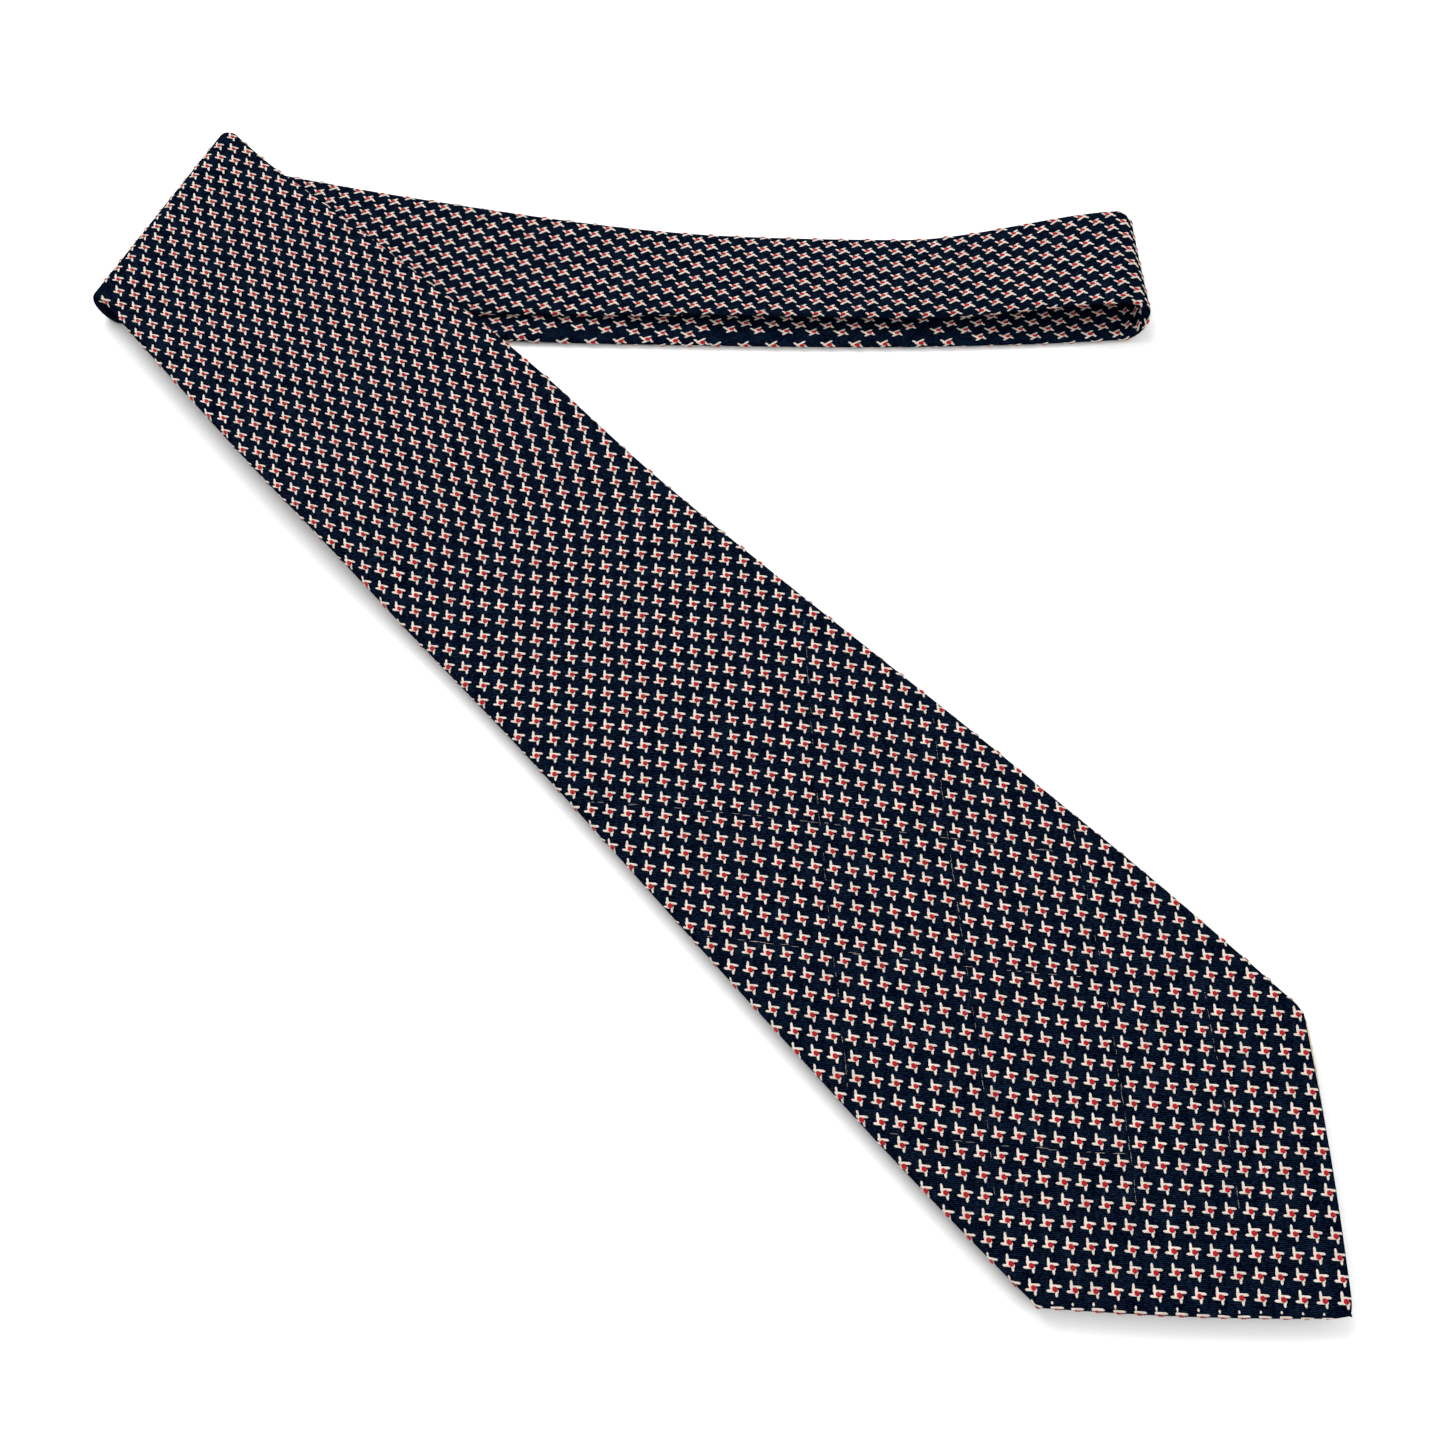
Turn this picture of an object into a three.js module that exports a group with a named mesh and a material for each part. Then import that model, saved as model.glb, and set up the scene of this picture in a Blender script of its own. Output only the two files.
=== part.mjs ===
// A long necktie, folded twice and lying flat.
// The silk shell is three bias-cut panels, each folded round an interlining so that two flaps meet down the
// middle of the back. From the table upwards lie the blade side of the neck, the tail side of the neck, the
// tail and the blade. The neck turns over in a soft loop at the right, and both ends are folded back together
// along one slanting line at the left. Lengths are millimetres, +Z is up.
import * as THREE from 'three';

// ---- driving dimensions ----
const BLADE_WIDTH = 95;          // across the widest part of the front end
const POINT_DEPTH = 50;          // shoulders to point, front end
const POINT_LEAN = 0.05;         // the point leans a little to the near side
const POINT_BOW = 1.1;           // how far the point's two edges swell outwards
const TAIL_WIDTH = 50;           // across the widest part of the narrow end
const NECK_WIDTH = 30;           // narrowest part, on the tail side of the neck loop
const LOOP_WIDTH = 33.4;         // where the blade side enters the neck loop
const BLADE_FOLD_WIDTH = 64;     // blade side, across its axis at the fold
const TAIL_FOLD_WIDTH = 45;      // tail side, across its axis at the fold
const BLADE_REACH = 423.5;       // fold line to the blade's point, along the middle
const TAIL_REACH = 400;          // fold line to the tail's point
const NECK_REACH = 275;          // fold line to where the neck loop starts to turn up
const BLADE_SEAM = 230;          // fold line to the seam of the blade and neck panels
const TAIL_SEAM = 34;            // fold line to the seam of the neck and tail panels
const SILK = 0.45;               // shell cloth
const INTERLINING = 0.7;
const TIPPING = 0.25;
const CLEARANCE = 0.25;          // between layers inside the tie
const EDGE_ROOM = 1.5;           // from the shell's edge to the edge of what lies inside it
const LAYER_GAP = 0.3;           // between folded sections that lie on each other
const SEAM_GAP = 0.3;            // between panels that a seam joins
const FOLD_GAP = 0.4;            // between a flat section and the round of its fold
const STITCH_GAP = 0.1;          // under what is sewn onto the blade's back
const BACK_SEAM = 1.2;           // between the two back flaps
const KEEPER = 0.6;              // cloth of the keeper loop
const KEEPER_WIDTH = 14;         // along the tie
const KEEPER_FROM_TIP = 214;
const KEEPER_TAB = 7;            // turned out under the blade at each side, to be sewn down
const KEEPER_ROOM = 0.5;         // between the tail's edge and the keeper's side
const LABEL = [46, 22];          // across and along the tie
const LABEL_FROM_TIP = 250;
const LABEL_MARGIN = 1.5;        // label's side edge to the middle of its tack
const CARE_TAG = [13, 24];       // across and along the tie
const CARE_TAG_FROM_TIP = 184;
const CARE_TAG_MARGIN = 2.5;     // upper edge to the middle of its tack
const LABEL_CLOTH = 0.35;
const THREAD = 0.6;
const BLADE_TACK = 150;          // blade's point to the tack that closes the back flaps
const TAIL_TACK = 70;
const BLADE_HEM = 14;            // width of the turned-in edge on both sides of the point
const TAIL_HEM = 9;
const TACK = [9, 1.6, 0.4];      // closing tack: across, along, thick
const SMALL_TACK = [1.2, 3, 0.3];
const STITCH_END = 4;            // closing tack to the end of the slip stitch
const LOOP_HEIGHT = 14.4;        // neck loop, outside
const LOOP_SETTLE = 61;          // length over which the neck comes down from the loop
const NEAR_EDGE_LIFT = 2.4;      // how far the upper neck's near edge gapes
const LIFT_END = [100, 170];     // where that gape closes, from the loop
const TAIL_SHIFT = 3.6;          // tail side of the neck, sideways from the blade side
const DROP = [104, 165];         // where the blade and tail come down beside the neck
const BLADE_HEADING = -44.5;     // degrees from +X, fold to point
const FOLD_LINE = 65.2;          // degrees from +X
const NECK_HEADING = -10.4;      // degrees from +X at the fold
const NECK_BEND = 1060;          // plan radius of the neck's slow curve
const BLADE_BOW = 1.2;           // how far the blade's middle line bows sideways
const BOW_SHARE = 0.86;          // share of the blade's length that bows

// Share of the change from fold width to full width, at distances from the fold or from the point.
const NECK_TAPER = [[36, 0.57], [108, 0.3], [168, 0.11]];
const BLADE_TAPER = [[393, 0.14], [325, 0.39], [237, 0.535], [137, 0.86]];
const BLADE_SHOULDER = 70;       // where the blade reaches its full width, from the point
const TAIL_SHOULDER = 30;
const NECK_FLARE = [60, 168];    // tail side of the neck widens between these distances from the fold
const FLARE_SHARE = 0.75;        // of that widening, how much comes before the last stretch
const FOLD_EASE = 1.03;          // neck at the fold, a little wider than the end that lies on it

// ---- derived heights ----
const rad = THREE.MathUtils.degToRad;
const inside = CLEARANCE + INTERLINING + CLEARANCE + TIPPING + CLEARANCE;
const THICK = 2 * SILK + inside;
const HALF = THICK / 2;
const between = LAYER_GAP + Math.max(TACK[2], LABEL_CLOTH, KEEPER) + LAYER_GAP;
const zNeckLow = HALF;
const zNeckHigh = zNeckLow + THICK + LAYER_GAP;
const zTail = zNeckHigh + THICK + LAYER_GAP;
const zBlade = zTail + THICK + between;
const drop = zTail - (KEEPER + LAYER_GAP + HALF);
const keeperAt = BLADE_REACH - KEEPER_FROM_TIP;

// ---- helpers ----
const smooth = (a, b, x) => THREE.MathUtils.smoothstep(x, a, b);
const mix = THREE.MathUtils.lerp;

/** A smooth curve through [position, value] points, level past both ends. */
function through(points) {
  const slope = points.slice(1).map(([x, v], i) => (v - points[i][1]) / (x - points[i][0]));
  const tangent = points.map((_, i) => {
    const [before, after] = [slope[i - 1] ?? 0, slope[i] ?? 0];
    return before * after <= 0 ? 0 : (2 * before * after) / (before + after);
  });
  return (x) => {
    if (x <= points[0][0]) return points[0][1];
    if (x >= points.at(-1)[0]) return points.at(-1)[1];
    const i = points.findIndex((p) => p[0] > x) - 1;
    const span = points[i + 1][0] - points[i][0];
    const t = (x - points[i][0]) / span;
    const [a, b] = [points[i][1], points[i + 1][1]];
    return a + (b - a) * t * t * (3 - 2 * t)
      + span * t * (1 - t) * (tangent[i] * (1 - t) - tangent[i + 1] * t);
  };
}

/** Joins equal rings of points into one closed body with triangulated ends. */
function loft(rings, flat) {
  const size = flat.length;
  const position = rings.flat().flatMap((p) => [p.x, p.y, p.z]);
  const index = [];
  for (let r = 0; r + 1 < rings.length; r += 1) {
    for (let k = 0; k < size; k += 1) {
      const [a, b] = [r * size + k, r * size + (k + 1) % size];
      index.push(a, b, b + size, a, b + size, a + size);
    }
  }
  const last = (rings.length - 1) * size;
  const [second, third] = THREE.ShapeUtils.isClockWise(flat) ? [2, 1] : [1, 2];
  for (const face of THREE.ShapeUtils.triangulateShape(flat, [])) {
    const [a, b, c] = [face[0], face[second], face[third]];
    index.push(a, c, b, last + a, last + b, last + c);
  }
  const geometry = new THREE.BufferGeometry();
  geometry.setAttribute('position', new THREE.Float32BufferAttribute(position, 3));
  geometry.setIndex(index);
  if (volumeOf(position, index) < 0) {
    for (let i = 0; i < index.length; i += 3) [index[i], index[i + 1]] = [index[i + 1], index[i]];
    geometry.setIndex(index);
  }
  return geometry;
}

function volumeOf(position, index) {
  const at = (i) => new THREE.Vector3().fromArray(position, 3 * i);
  let total = 0;
  for (let i = 0; i < index.length; i += 3) {
    total += at(index[i]).dot(at(index[i + 1]).cross(at(index[i + 2])));
  }
  return total;
}

const materials = {
  shell: { color: 0x141d33, roughness: 0.62 },
  interlining: { color: 0xd9d2c0, roughness: 0.95 },
  tipping: { color: 0x18243f, roughness: 0.4 },
  label: { color: 0x202a44, roughness: 0.5 },
  tag: { color: 0xe6e2d8, roughness: 0.6 },
  thread: { color: 0x10182c, roughness: 0.7 },
};
const tie = new THREE.Group();
function add(name, kind, geometry) {
  const mesh = new THREE.Mesh(geometry, new THREE.MeshStandardMaterial({ ...materials[kind], metalness: 0 }));
  mesh.name = name;
  tie.add(mesh);
}

// ---- where a point of the tie lies ----
// Each section maps (along, across, out) to space: along from the fold line on the middle line, across
// towards the far side, out towards the right side of the cloth.
const ahead = new THREE.Vector2(Math.cos(rad(BLADE_HEADING)), Math.sin(rad(BLADE_HEADING)));
const endSlant = Math.tan(rad(BLADE_HEADING + 90 - FOLD_LINE));
const neckSlant = Math.tan(rad(NECK_HEADING + 90 - FOLD_LINE));

/** Blade or tail: straight, lying flat past the neck, right side up for the blade and down for the tail. */
function endSection(height, side, reach, shift) {
  return (along, across, out) => {
    const bowed = THREE.MathUtils.clamp(along / (BOW_SHARE * reach), 0, 1);
    const bow = BLADE_BOW * Math.sin(Math.PI * bowed);
    const y = across + bow + shift * (1 - smooth(0, keeperAt - KEEPER_WIDTH / 2, along));
    const z = height - drop * smooth(DROP[0], DROP[1], along) + side * out;
    return new THREE.Vector3(ahead.x * along - ahead.y * y, ahead.y * along + ahead.x * y, z);
  };
}
const onBlade = endSection(zBlade, 1, BLADE_REACH, 0);
const onTail = endSection(zTail, -1, TAIL_REACH, TAIL_SHIFT);

const loopRadius = (LOOP_HEIGHT - THICK) / 2;
const LOOP_LENGTH = Math.PI * loopRadius;
const NECK_LENGTH = 2 * NECK_REACH + LOOP_LENGTH;
const neckHalf = through([
  [0, BLADE_FOLD_WIDTH / 2 * FOLD_EASE],
  ...NECK_TAPER.map(([at, share]) => [at, mix(LOOP_WIDTH, BLADE_FOLD_WIDTH, share) / 2]),
  [NECK_REACH, LOOP_WIDTH / 2],
  [NECK_REACH + LOOP_LENGTH + LOOP_SETTLE, NECK_WIDTH / 2],
  [NECK_LENGTH - NECK_FLARE[1], NECK_WIDTH / 2],
  [NECK_LENGTH - NECK_FLARE[0], mix(NECK_WIDTH, TAIL_FOLD_WIDTH, FLARE_SHARE) / 2],
  [NECK_LENGTH, TAIL_FOLD_WIDTH / 2 * FOLD_EASE],
]);

/** Neck: flat along the table, over the loop at the right, then back down on top of itself. */
function onNeck(along, across, out) {
  const turn = THREE.MathUtils.clamp((along - NECK_REACH) / loopRadius, 0, Math.PI);
  const back = Math.max(0, along - NECK_REACH - LOOP_LENGTH);
  const top = zNeckLow + 2 * loopRadius;
  const fall = smooth(0, LOOP_SETTLE, back);
  const steep = (top - zNeckHigh) * 6 * Math.min(back, LOOP_SETTLE) * Math.max(LOOP_SETTLE - back, 0)
    / LOOP_SETTLE ** 3;
  const lean = turn + Math.atan(back > 0 ? steep : 0);
  const forward = Math.min(along, NECK_REACH) + loopRadius * Math.sin(turn) - back + out * Math.sin(lean);
  const level = back > 0 ? mix(top, zNeckHigh, fall) : zNeckLow + loopRadius * (1 - Math.cos(turn));
  const gape = NEAR_EDGE_LIFT * smooth(0, LOOP_SETTLE, back) * (1 - smooth(LIFT_END[0], LIFT_END[1], back));
  const z = level - out * Math.cos(lean) + gape * (1 - across / neckHalf(along)) / 2;
  const y = across + TAIL_SHIFT * smooth(NECK_REACH, NECK_REACH + LOOP_LENGTH, along);
  const angle = rad(NECK_HEADING) + forward / NECK_BEND;
  const start = rad(NECK_HEADING);
  return new THREE.Vector3(
    NECK_BEND * (Math.sin(angle) - Math.sin(start)) - y * Math.sin(angle),
    NECK_BEND * (Math.cos(start) - Math.cos(angle)) + y * Math.cos(angle),
    z,
  );
}

const bladeHalf = through([
  [0, BLADE_FOLD_WIDTH / 2],
  ...BLADE_TAPER.map(([at, share]) => [BLADE_REACH - at, mix(BLADE_FOLD_WIDTH, BLADE_WIDTH, share) / 2]),
  [BLADE_REACH - BLADE_SHOULDER, BLADE_WIDTH / 2],
]);
const tailHalf = through([[0, TAIL_FOLD_WIDTH / 2], [TAIL_REACH - TAIL_SHOULDER, TAIL_WIDTH / 2]]);

const TIP_BLUNT = 0.4;           // half the width of the very tip
/** Half the width of an end with a nearly square point. */
const pointed = (half, reach, depth) => (along) => {
  const share = THREE.MathUtils.clamp((reach - along) / depth, 0, 1);
  const point = half(reach - depth) * share + POINT_BOW * Math.sin(Math.PI * share) + TIP_BLUNT;
  return share < 1 ? Math.min(half(along), point) : half(along);
};
const bladeEdge = pointed(bladeHalf, BLADE_REACH, POINT_DEPTH);
const tailEdge = pointed(tailHalf, TAIL_REACH, TAIL_WIDTH / 2);


const V_START = 0.4;             // share of the way to the tack where the flaps start to close
/** Distance from the middle line to the free edge of a back flap: closed above the tack, open in a V below. */
function flapEdge(edge, reach, tack, hem) {
  return (along) => {
    const fromPoint = reach - along;
    const open = edge(along) - hem;
    const closed = THREE.MathUtils.clamp((fromPoint / tack - V_START) / (1 - V_START), 0, 1);
    return Math.max(BACK_SEAM / 2, open * (1 - closed));
  };
}

// ---- cross sections, as [across, out] ----
const LEAST_FLAP = 0.05;         // a flap never closes to nothing
/** Shell: the front, both rounded edges and the two flaps, as one bent strip. */
function shellSection(half, flap) {
  const round = (radius, steps) => steps.map((a) => [
    half - HALF + radius * Math.cos(rad(a)), radius * Math.sin(rad(a))]);
  const outer = round(HALF, [-90, -45, 0, 45, 90]);
  const inner = round(HALF - SILK, [90, 45, 0, -45, -90]);
  const free = Math.min(flap, half - HALF - LEAST_FLAP);
  const flip = (points) => points.map(([y, h]) => [-y, h]).reverse();
  return [[free, -HALF], ...outer, ...flip(outer), [-free, -HALF],
    [-free, SILK - HALF], ...flip(inner), ...inner, [free, SILK - HALF]];
}
const sheetSection = (half, low, high) => [[-half, low], [half, low], [half, high], [-half, high]];
const front = HALF - SILK - CLEARANCE;
const interliningSection = (half) => sheetSection(half - EDGE_ROOM, front - INTERLINING, front);
const tippingTop = front - INTERLINING - CLEARANCE;
const tippingSection = (half) => sheetSection(half - EDGE_ROOM, tippingTop - TIPPING, tippingTop);

/** Sweeps a section along stations; each station is [along, slant], slant being its tilt off square. */
function sweep(place, stations, section) {
  const rings = stations.map(([along, slant]) => section(along)
    .map(([y, out]) => place(along + y * slant, y, out)));
  const flat = section(stations[0][0]).map(([y, out]) => new THREE.Vector2(y, out));
  return loft(rings, flat);
}

/** Stations from one end to the other, with the slant at each end fading out over a length. */
function stations(from, to, count, slantFrom = 0, slantTo = 0, fade = 45) {
  return Array.from({ length: count + 1 }, (_, i) => {
    const along = mix(from, to, i / count);
    const slant = slantFrom * (1 - smooth(0, fade, along - from))
      + slantTo * (1 - smooth(0, fade, to - along));
    return [along, slant];
  });
}
const square = (list) => list.map((along) => [along, 0]);
const LINING_STOP = 5;           // from the point to the end of what lies inside

// ---- the blade ----
const bladeFlap = flapEdge(bladeEdge, BLADE_REACH, BLADE_TACK, BLADE_HEM);
const dropStations = stations(DROP[0], DROP[1], 10).slice(1);
const LEAN_START = 60;
const pointSteps = [1.06, 1, 0.93, 0.8, 0.6, 0.4, 0.28, 0.16, 0.044];
const bladeStations = [
  ...stations(FOLD_GAP, DROP[0], 6, endSlant),
  ...dropStations,
  ...stations(DROP[1], BLADE_REACH - BLADE_TACK - 10, 5).slice(1),
  ...[BLADE_TACK, 140, 120, 100, 85, 70, LEAN_START].map((s) => [
    BLADE_REACH - s, POINT_LEAN * (1 - smooth(LEAN_START, BLADE_TACK, s))]),
  ...pointSteps.map((t) => [BLADE_REACH - t * POINT_DEPTH, POINT_LEAN]),
];
const bladeShell = (s) => shellSection(bladeEdge(s), bladeFlap(s));
const bladeLining = (s) => interliningSection(bladeEdge(s));
add('shell_blade', 'shell', sweep(onBlade, bladeStations, bladeShell));
const insideBlade = bladeStations.filter(([s]) => s < BLADE_REACH - LINING_STOP);
add('interlining_blade', 'interlining', sweep(onBlade, insideBlade, bladeLining));
const tippingBlade = insideBlade.filter(([s]) => s >= BLADE_REACH - BLADE_TACK);
add('tipping_blade', 'tipping', sweep(onBlade, tippingBlade, (s) => tippingSection(bladeEdge(s))));

// ---- the tail ----
const tailFlap = flapEdge(tailEdge, TAIL_REACH, TAIL_TACK, TAIL_HEM);
const tailPointSteps = [1.28, 1.04, 0.96, 0.64, 0.36, 0.088];
const tailStations = [
  ...stations(FOLD_GAP + endSlant * TAIL_SHIFT, DROP[0], 6, endSlant),
  ...dropStations,
  ...stations(DROP[1], TAIL_REACH - TAIL_TACK - 10, 7).slice(1),
  ...square([TAIL_TACK, 55, 40].map((s) => TAIL_REACH - s)),
  ...square(tailPointSteps.map((t) => TAIL_REACH - t * TAIL_WIDTH / 2)),
];
const tailShell = (s) => shellSection(tailEdge(s), tailFlap(s));
const tailLining = (s) => interliningSection(tailEdge(s));
add('shell_tail', 'shell', sweep(onTail, tailStations, tailShell));
const insideTail = tailStations.filter(([s]) => s < TAIL_REACH - LINING_STOP);
add('interlining_tail', 'interlining', sweep(onTail, insideTail, tailLining));
const tippingTail = insideTail.filter(([s]) => s >= TAIL_REACH - TAIL_TACK);
add('tipping_tail', 'tipping', sweep(onTail, tippingTail, (s) => tippingSection(tailEdge(s))));

// ---- the neck: the blade panel's end, the neck panel round the loop, the tail panel's start ----
const SEAM_SLANT = 1;            // panels are joined along a thread, at 45 degrees to the axis
const loopEnd = NECK_REACH + LOOP_LENGTH;
const tailSeam = NECK_LENGTH - TAIL_SEAM;
const neckEnd = NECK_LENGTH - FOLD_GAP - neckSlant * TAIL_SHIFT;
const neckShell = (s) => shellSection(neckHalf(s), BACK_SEAM / 2);
const upperBlade = stations(FOLD_GAP, BLADE_SEAM - SEAM_GAP, 10, neckSlant, SEAM_SLANT);
const loopStations = [
  ...stations(NECK_REACH, loopEnd, 14),
  ...stations(loopEnd, loopEnd + LOOP_SETTLE, 13).slice(1),
  ...stations(loopEnd + LOOP_SETTLE, loopEnd + LIFT_END[1], 11).slice(1),
];
const settled = loopEnd + LIFT_END[1];
const neckPanel = [
  ...stations(BLADE_SEAM + SEAM_GAP, NECK_REACH, 4, SEAM_SLANT).slice(0, -1),
  ...loopStations,
  ...stations(settled, tailSeam - SEAM_GAP, 5, 0, SEAM_SLANT).slice(1),
];
const upperTail = stations(tailSeam + SEAM_GAP, neckEnd, 3, SEAM_SLANT, -neckSlant, TAIL_SEAM);
add('shell_blade_upper', 'shell', sweep(onNeck, upperBlade, neckShell));
add('shell_neck', 'shell', sweep(onNeck, neckPanel, neckShell));
add('shell_tail_upper', 'shell', sweep(onNeck, upperTail, neckShell));
const neckLining = [...upperBlade, ...neckPanel, ...upperTail];
add('interlining_neck', 'interlining', sweep(onNeck, neckLining, (s) => interliningSection(neckHalf(s))));

// ---- the two folds at the left: the blade's goes round the tail's ----
const foldAlong = new THREE.Vector2(Math.cos(rad(FOLD_LINE)), Math.sin(rad(FOLD_LINE)));
const stretchNeck = Math.hypot(1, neckSlant);
const stretchEnd = Math.hypot(1, endSlant);

/** Half a turn about the fold line, from the neck's level up to the end's. */
function onFold(low, high, side, shift) {
  const radius = (high - low) / 2;
  return (turn, across, out) => {
    const reach = radius + side * out;
    const v = (across + shift) * mix(stretchNeck, stretchEnd, turn / Math.PI);
    const left = reach * Math.sin(turn);
    return new THREE.Vector3(foldAlong.x * v - foldAlong.y * left, foldAlong.y * v + foldAlong.x * left,
      (low + high) / 2 - reach * Math.cos(turn));
  };
}
const FOLD_TRIM = 0.04;          // each round stops short of the flat sections, as a turn
const foldStations = stations(FOLD_TRIM, Math.PI - FOLD_TRIM, 8);
const folds = [
  ['blade_fold', onFold(zNeckLow, zBlade, 1, 0), BLADE_FOLD_WIDTH / 2],
  ['tail_fold', onFold(zNeckHigh, zTail, -1, TAIL_SHIFT), TAIL_FOLD_WIDTH / 2],
];
for (const [name, place, half] of folds) {
  const foldShell = () => shellSection(half, BACK_SEAM / 2);
  add(`shell_${name}`, 'shell', sweep(place, foldStations, foldShell));
  add(`interlining_${name}`, 'interlining', sweep(place, foldStations, () => interliningSection(half)));
}

// ---- thread: the slip stitch down the back and the tacks that stop the flaps opening ----
const THREAD_DEPTH = 0.4;        // the thread lies in the gap between the flaps
const FIRST_STITCH = 1;
const stitch = () => sheetSection(THREAD / 2, -HALF, THREAD_DEPTH - HALF);
const seamOf = (list, to) => list.filter(([s]) => s > FIRST_STITCH && s < to).map(([s]) => [s, 0]);
const bladeSeam = seamOf(bladeStations, BLADE_REACH - BLADE_TACK - STITCH_END);
const tailSeamLine = seamOf(tailStations, TAIL_REACH - TAIL_TACK - STITCH_END);
add('slip_stitch_blade', 'thread', sweep(onBlade, bladeSeam, stitch));
add('slip_stitch_tail', 'thread', sweep(onTail, tailSeamLine, stitch));
add('slip_stitch_neck', 'thread', sweep(onNeck, seamOf(neckLining, neckEnd - FIRST_STITCH), stitch));

const PATCH_STEP = 4;            // longest stretch of a patch that doesn't bend with the cloth
/** A flat block sewn under a section's back, centred on a place and so long, wide and thick. */
function patch(name, kind, place, along, across, [wide, long, thick], under = 0) {
  const top = -HALF - STITCH_GAP - under;
  const line = stations(along - long / 2, along + long / 2, Math.ceil(long / PATCH_STEP));
  const section = () => sheetSection(wide / 2, top - thick, top);
  add(name, kind, sweep((s, y, out) => place(s, y + across, out), line, section));
}
patch('bar_tack_blade', 'thread', onBlade, BLADE_REACH - BLADE_TACK, 0, TACK);
patch('bar_tack_tail', 'thread', onTail, TAIL_REACH - TAIL_TACK, 0, TACK);

// ---- what is sewn to the blade's back ----
patch('label_blank', 'label', onBlade, BLADE_REACH - LABEL_FROM_TIP, 0, [...LABEL, LABEL_CLOTH]);
patch('care_tag', 'tag', onBlade, BLADE_REACH - CARE_TAG_FROM_TIP, 0, [...CARE_TAG, LABEL_CLOTH]);
const careTackAt = BLADE_REACH - CARE_TAG_FROM_TIP - CARE_TAG[1] / 2 + CARE_TAG_MARGIN;
const [tackWide, tackLong, tackThick] = SMALL_TACK;
patch('care_tag_tack', 'thread', onBlade, careTackAt, 0,
  [tackLong, tackWide, tackThick], LABEL_CLOTH + STITCH_GAP);
const labelEdge = LABEL[0] / 2 - LABEL_MARGIN;

// the keeper: a flat strip under the tail, turned up at both sides and sewn to the blade
const keeperInner = tailHalf(keeperAt) + KEEPER_ROOM;
const keeperTop = -HALF - STITCH_GAP;
const keeperFloor = -(zBlade - drop);
const keeperOuter = keeperInner + KEEPER;
const keeperSide = [[keeperInner, keeperFloor + KEEPER], [keeperInner, keeperTop],
  [keeperOuter + KEEPER_TAB, keeperTop], [keeperOuter + KEEPER_TAB, keeperTop - KEEPER],
  [keeperOuter, keeperTop - KEEPER], [keeperOuter, keeperFloor]];
const keeperSection = () => [...keeperSide, ...keeperSide.map(([y, h]) => [-y, h]).reverse()];
add('keeper_loop', 'shell', sweep(onBlade,
  square([keeperAt - KEEPER_WIDTH / 2, keeperAt, keeperAt + KEEPER_WIDTH / 2]), keeperSection));
for (const [name, side] of [['near', -1], ['far', 1]]) {
  const tab = side * (keeperOuter + KEEPER_TAB / 2);
  patch(`keeper_tack_${name}`, 'thread', onBlade, keeperAt, tab, SMALL_TACK, KEEPER + STITCH_GAP);
  patch(`label_tack_${name}`, 'thread', onBlade, BLADE_REACH - LABEL_FROM_TIP, side * labelEdge,
    SMALL_TACK, LABEL_CLOTH + STITCH_GAP);
}

// ---- stand the folded tie on the table, centred over the origin ----
const box = new THREE.Box3().setFromObject(tie);
const middle = box.getCenter(new THREE.Vector3());
tie.position.set(-middle.x, -middle.y, -box.min.z);
tie.updateMatrixWorld(true);
export default tie;
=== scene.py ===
# %% [markdown]
# # A folded silk necktie
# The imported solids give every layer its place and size. This notebook lays real cloth over them: three silk
# panels with a woven figure, the linings, the stitching and what is sewn to the back. The tie lies folded
# twice, and its long ends lift over the pressed fold at the left.

# %% Load the frame
import bpy
import math
import numpy as np
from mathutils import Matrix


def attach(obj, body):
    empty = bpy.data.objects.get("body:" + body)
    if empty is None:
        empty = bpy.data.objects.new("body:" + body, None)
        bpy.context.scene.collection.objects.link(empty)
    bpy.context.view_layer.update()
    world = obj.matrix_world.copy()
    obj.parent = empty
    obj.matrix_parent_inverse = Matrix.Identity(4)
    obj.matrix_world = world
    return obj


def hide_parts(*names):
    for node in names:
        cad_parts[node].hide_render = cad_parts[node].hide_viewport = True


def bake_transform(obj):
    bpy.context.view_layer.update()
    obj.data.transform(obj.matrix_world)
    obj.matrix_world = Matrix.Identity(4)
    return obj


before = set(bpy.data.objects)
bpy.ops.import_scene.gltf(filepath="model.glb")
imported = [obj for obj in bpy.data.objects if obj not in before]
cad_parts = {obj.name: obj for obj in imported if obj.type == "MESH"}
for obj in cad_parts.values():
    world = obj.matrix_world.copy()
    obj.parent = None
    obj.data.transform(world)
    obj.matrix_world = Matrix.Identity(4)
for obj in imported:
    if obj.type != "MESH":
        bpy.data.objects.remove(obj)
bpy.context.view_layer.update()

# %% [markdown]
# The camera comes first. It looks down at the table from the near side, 65 degrees below level, and is turned
# by about one degree. A lens of 42 mm gives the long blade its strong narrowing towards the fold.

# %% Camera
LOOK_DOWN = math.radians(65.3)
ROLL = math.radians(1.016)
camera_data = bpy.data.cameras.new("camera")
camera_data.lens, camera_data.sensor_width, camera_data.clip_start = 42.0, 36.0, 0.01
camera = bpy.data.objects.new("camera", camera_data)
bpy.context.scene.collection.objects.link(camera)
camera.location = (0.02013, -0.20261, 0.39436)
camera.rotation_euler = (math.pi / 2 - LOOK_DOWN, 0.0, 0.0)
camera.rotation_euler.rotate_axis("Z", ROLL)
bpy.context.scene.camera = camera

# %% [markdown]
# ## Where a point of the tie lies
# A tie is four flat sections on top of each other. Each section has its own map from (along, across, out),
# in millimetres, to space: along runs from the fold on the middle line, across runs towards the far side,
# and out points away from the right side of the cloth. These are the same maps that shaped the solids.

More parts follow.
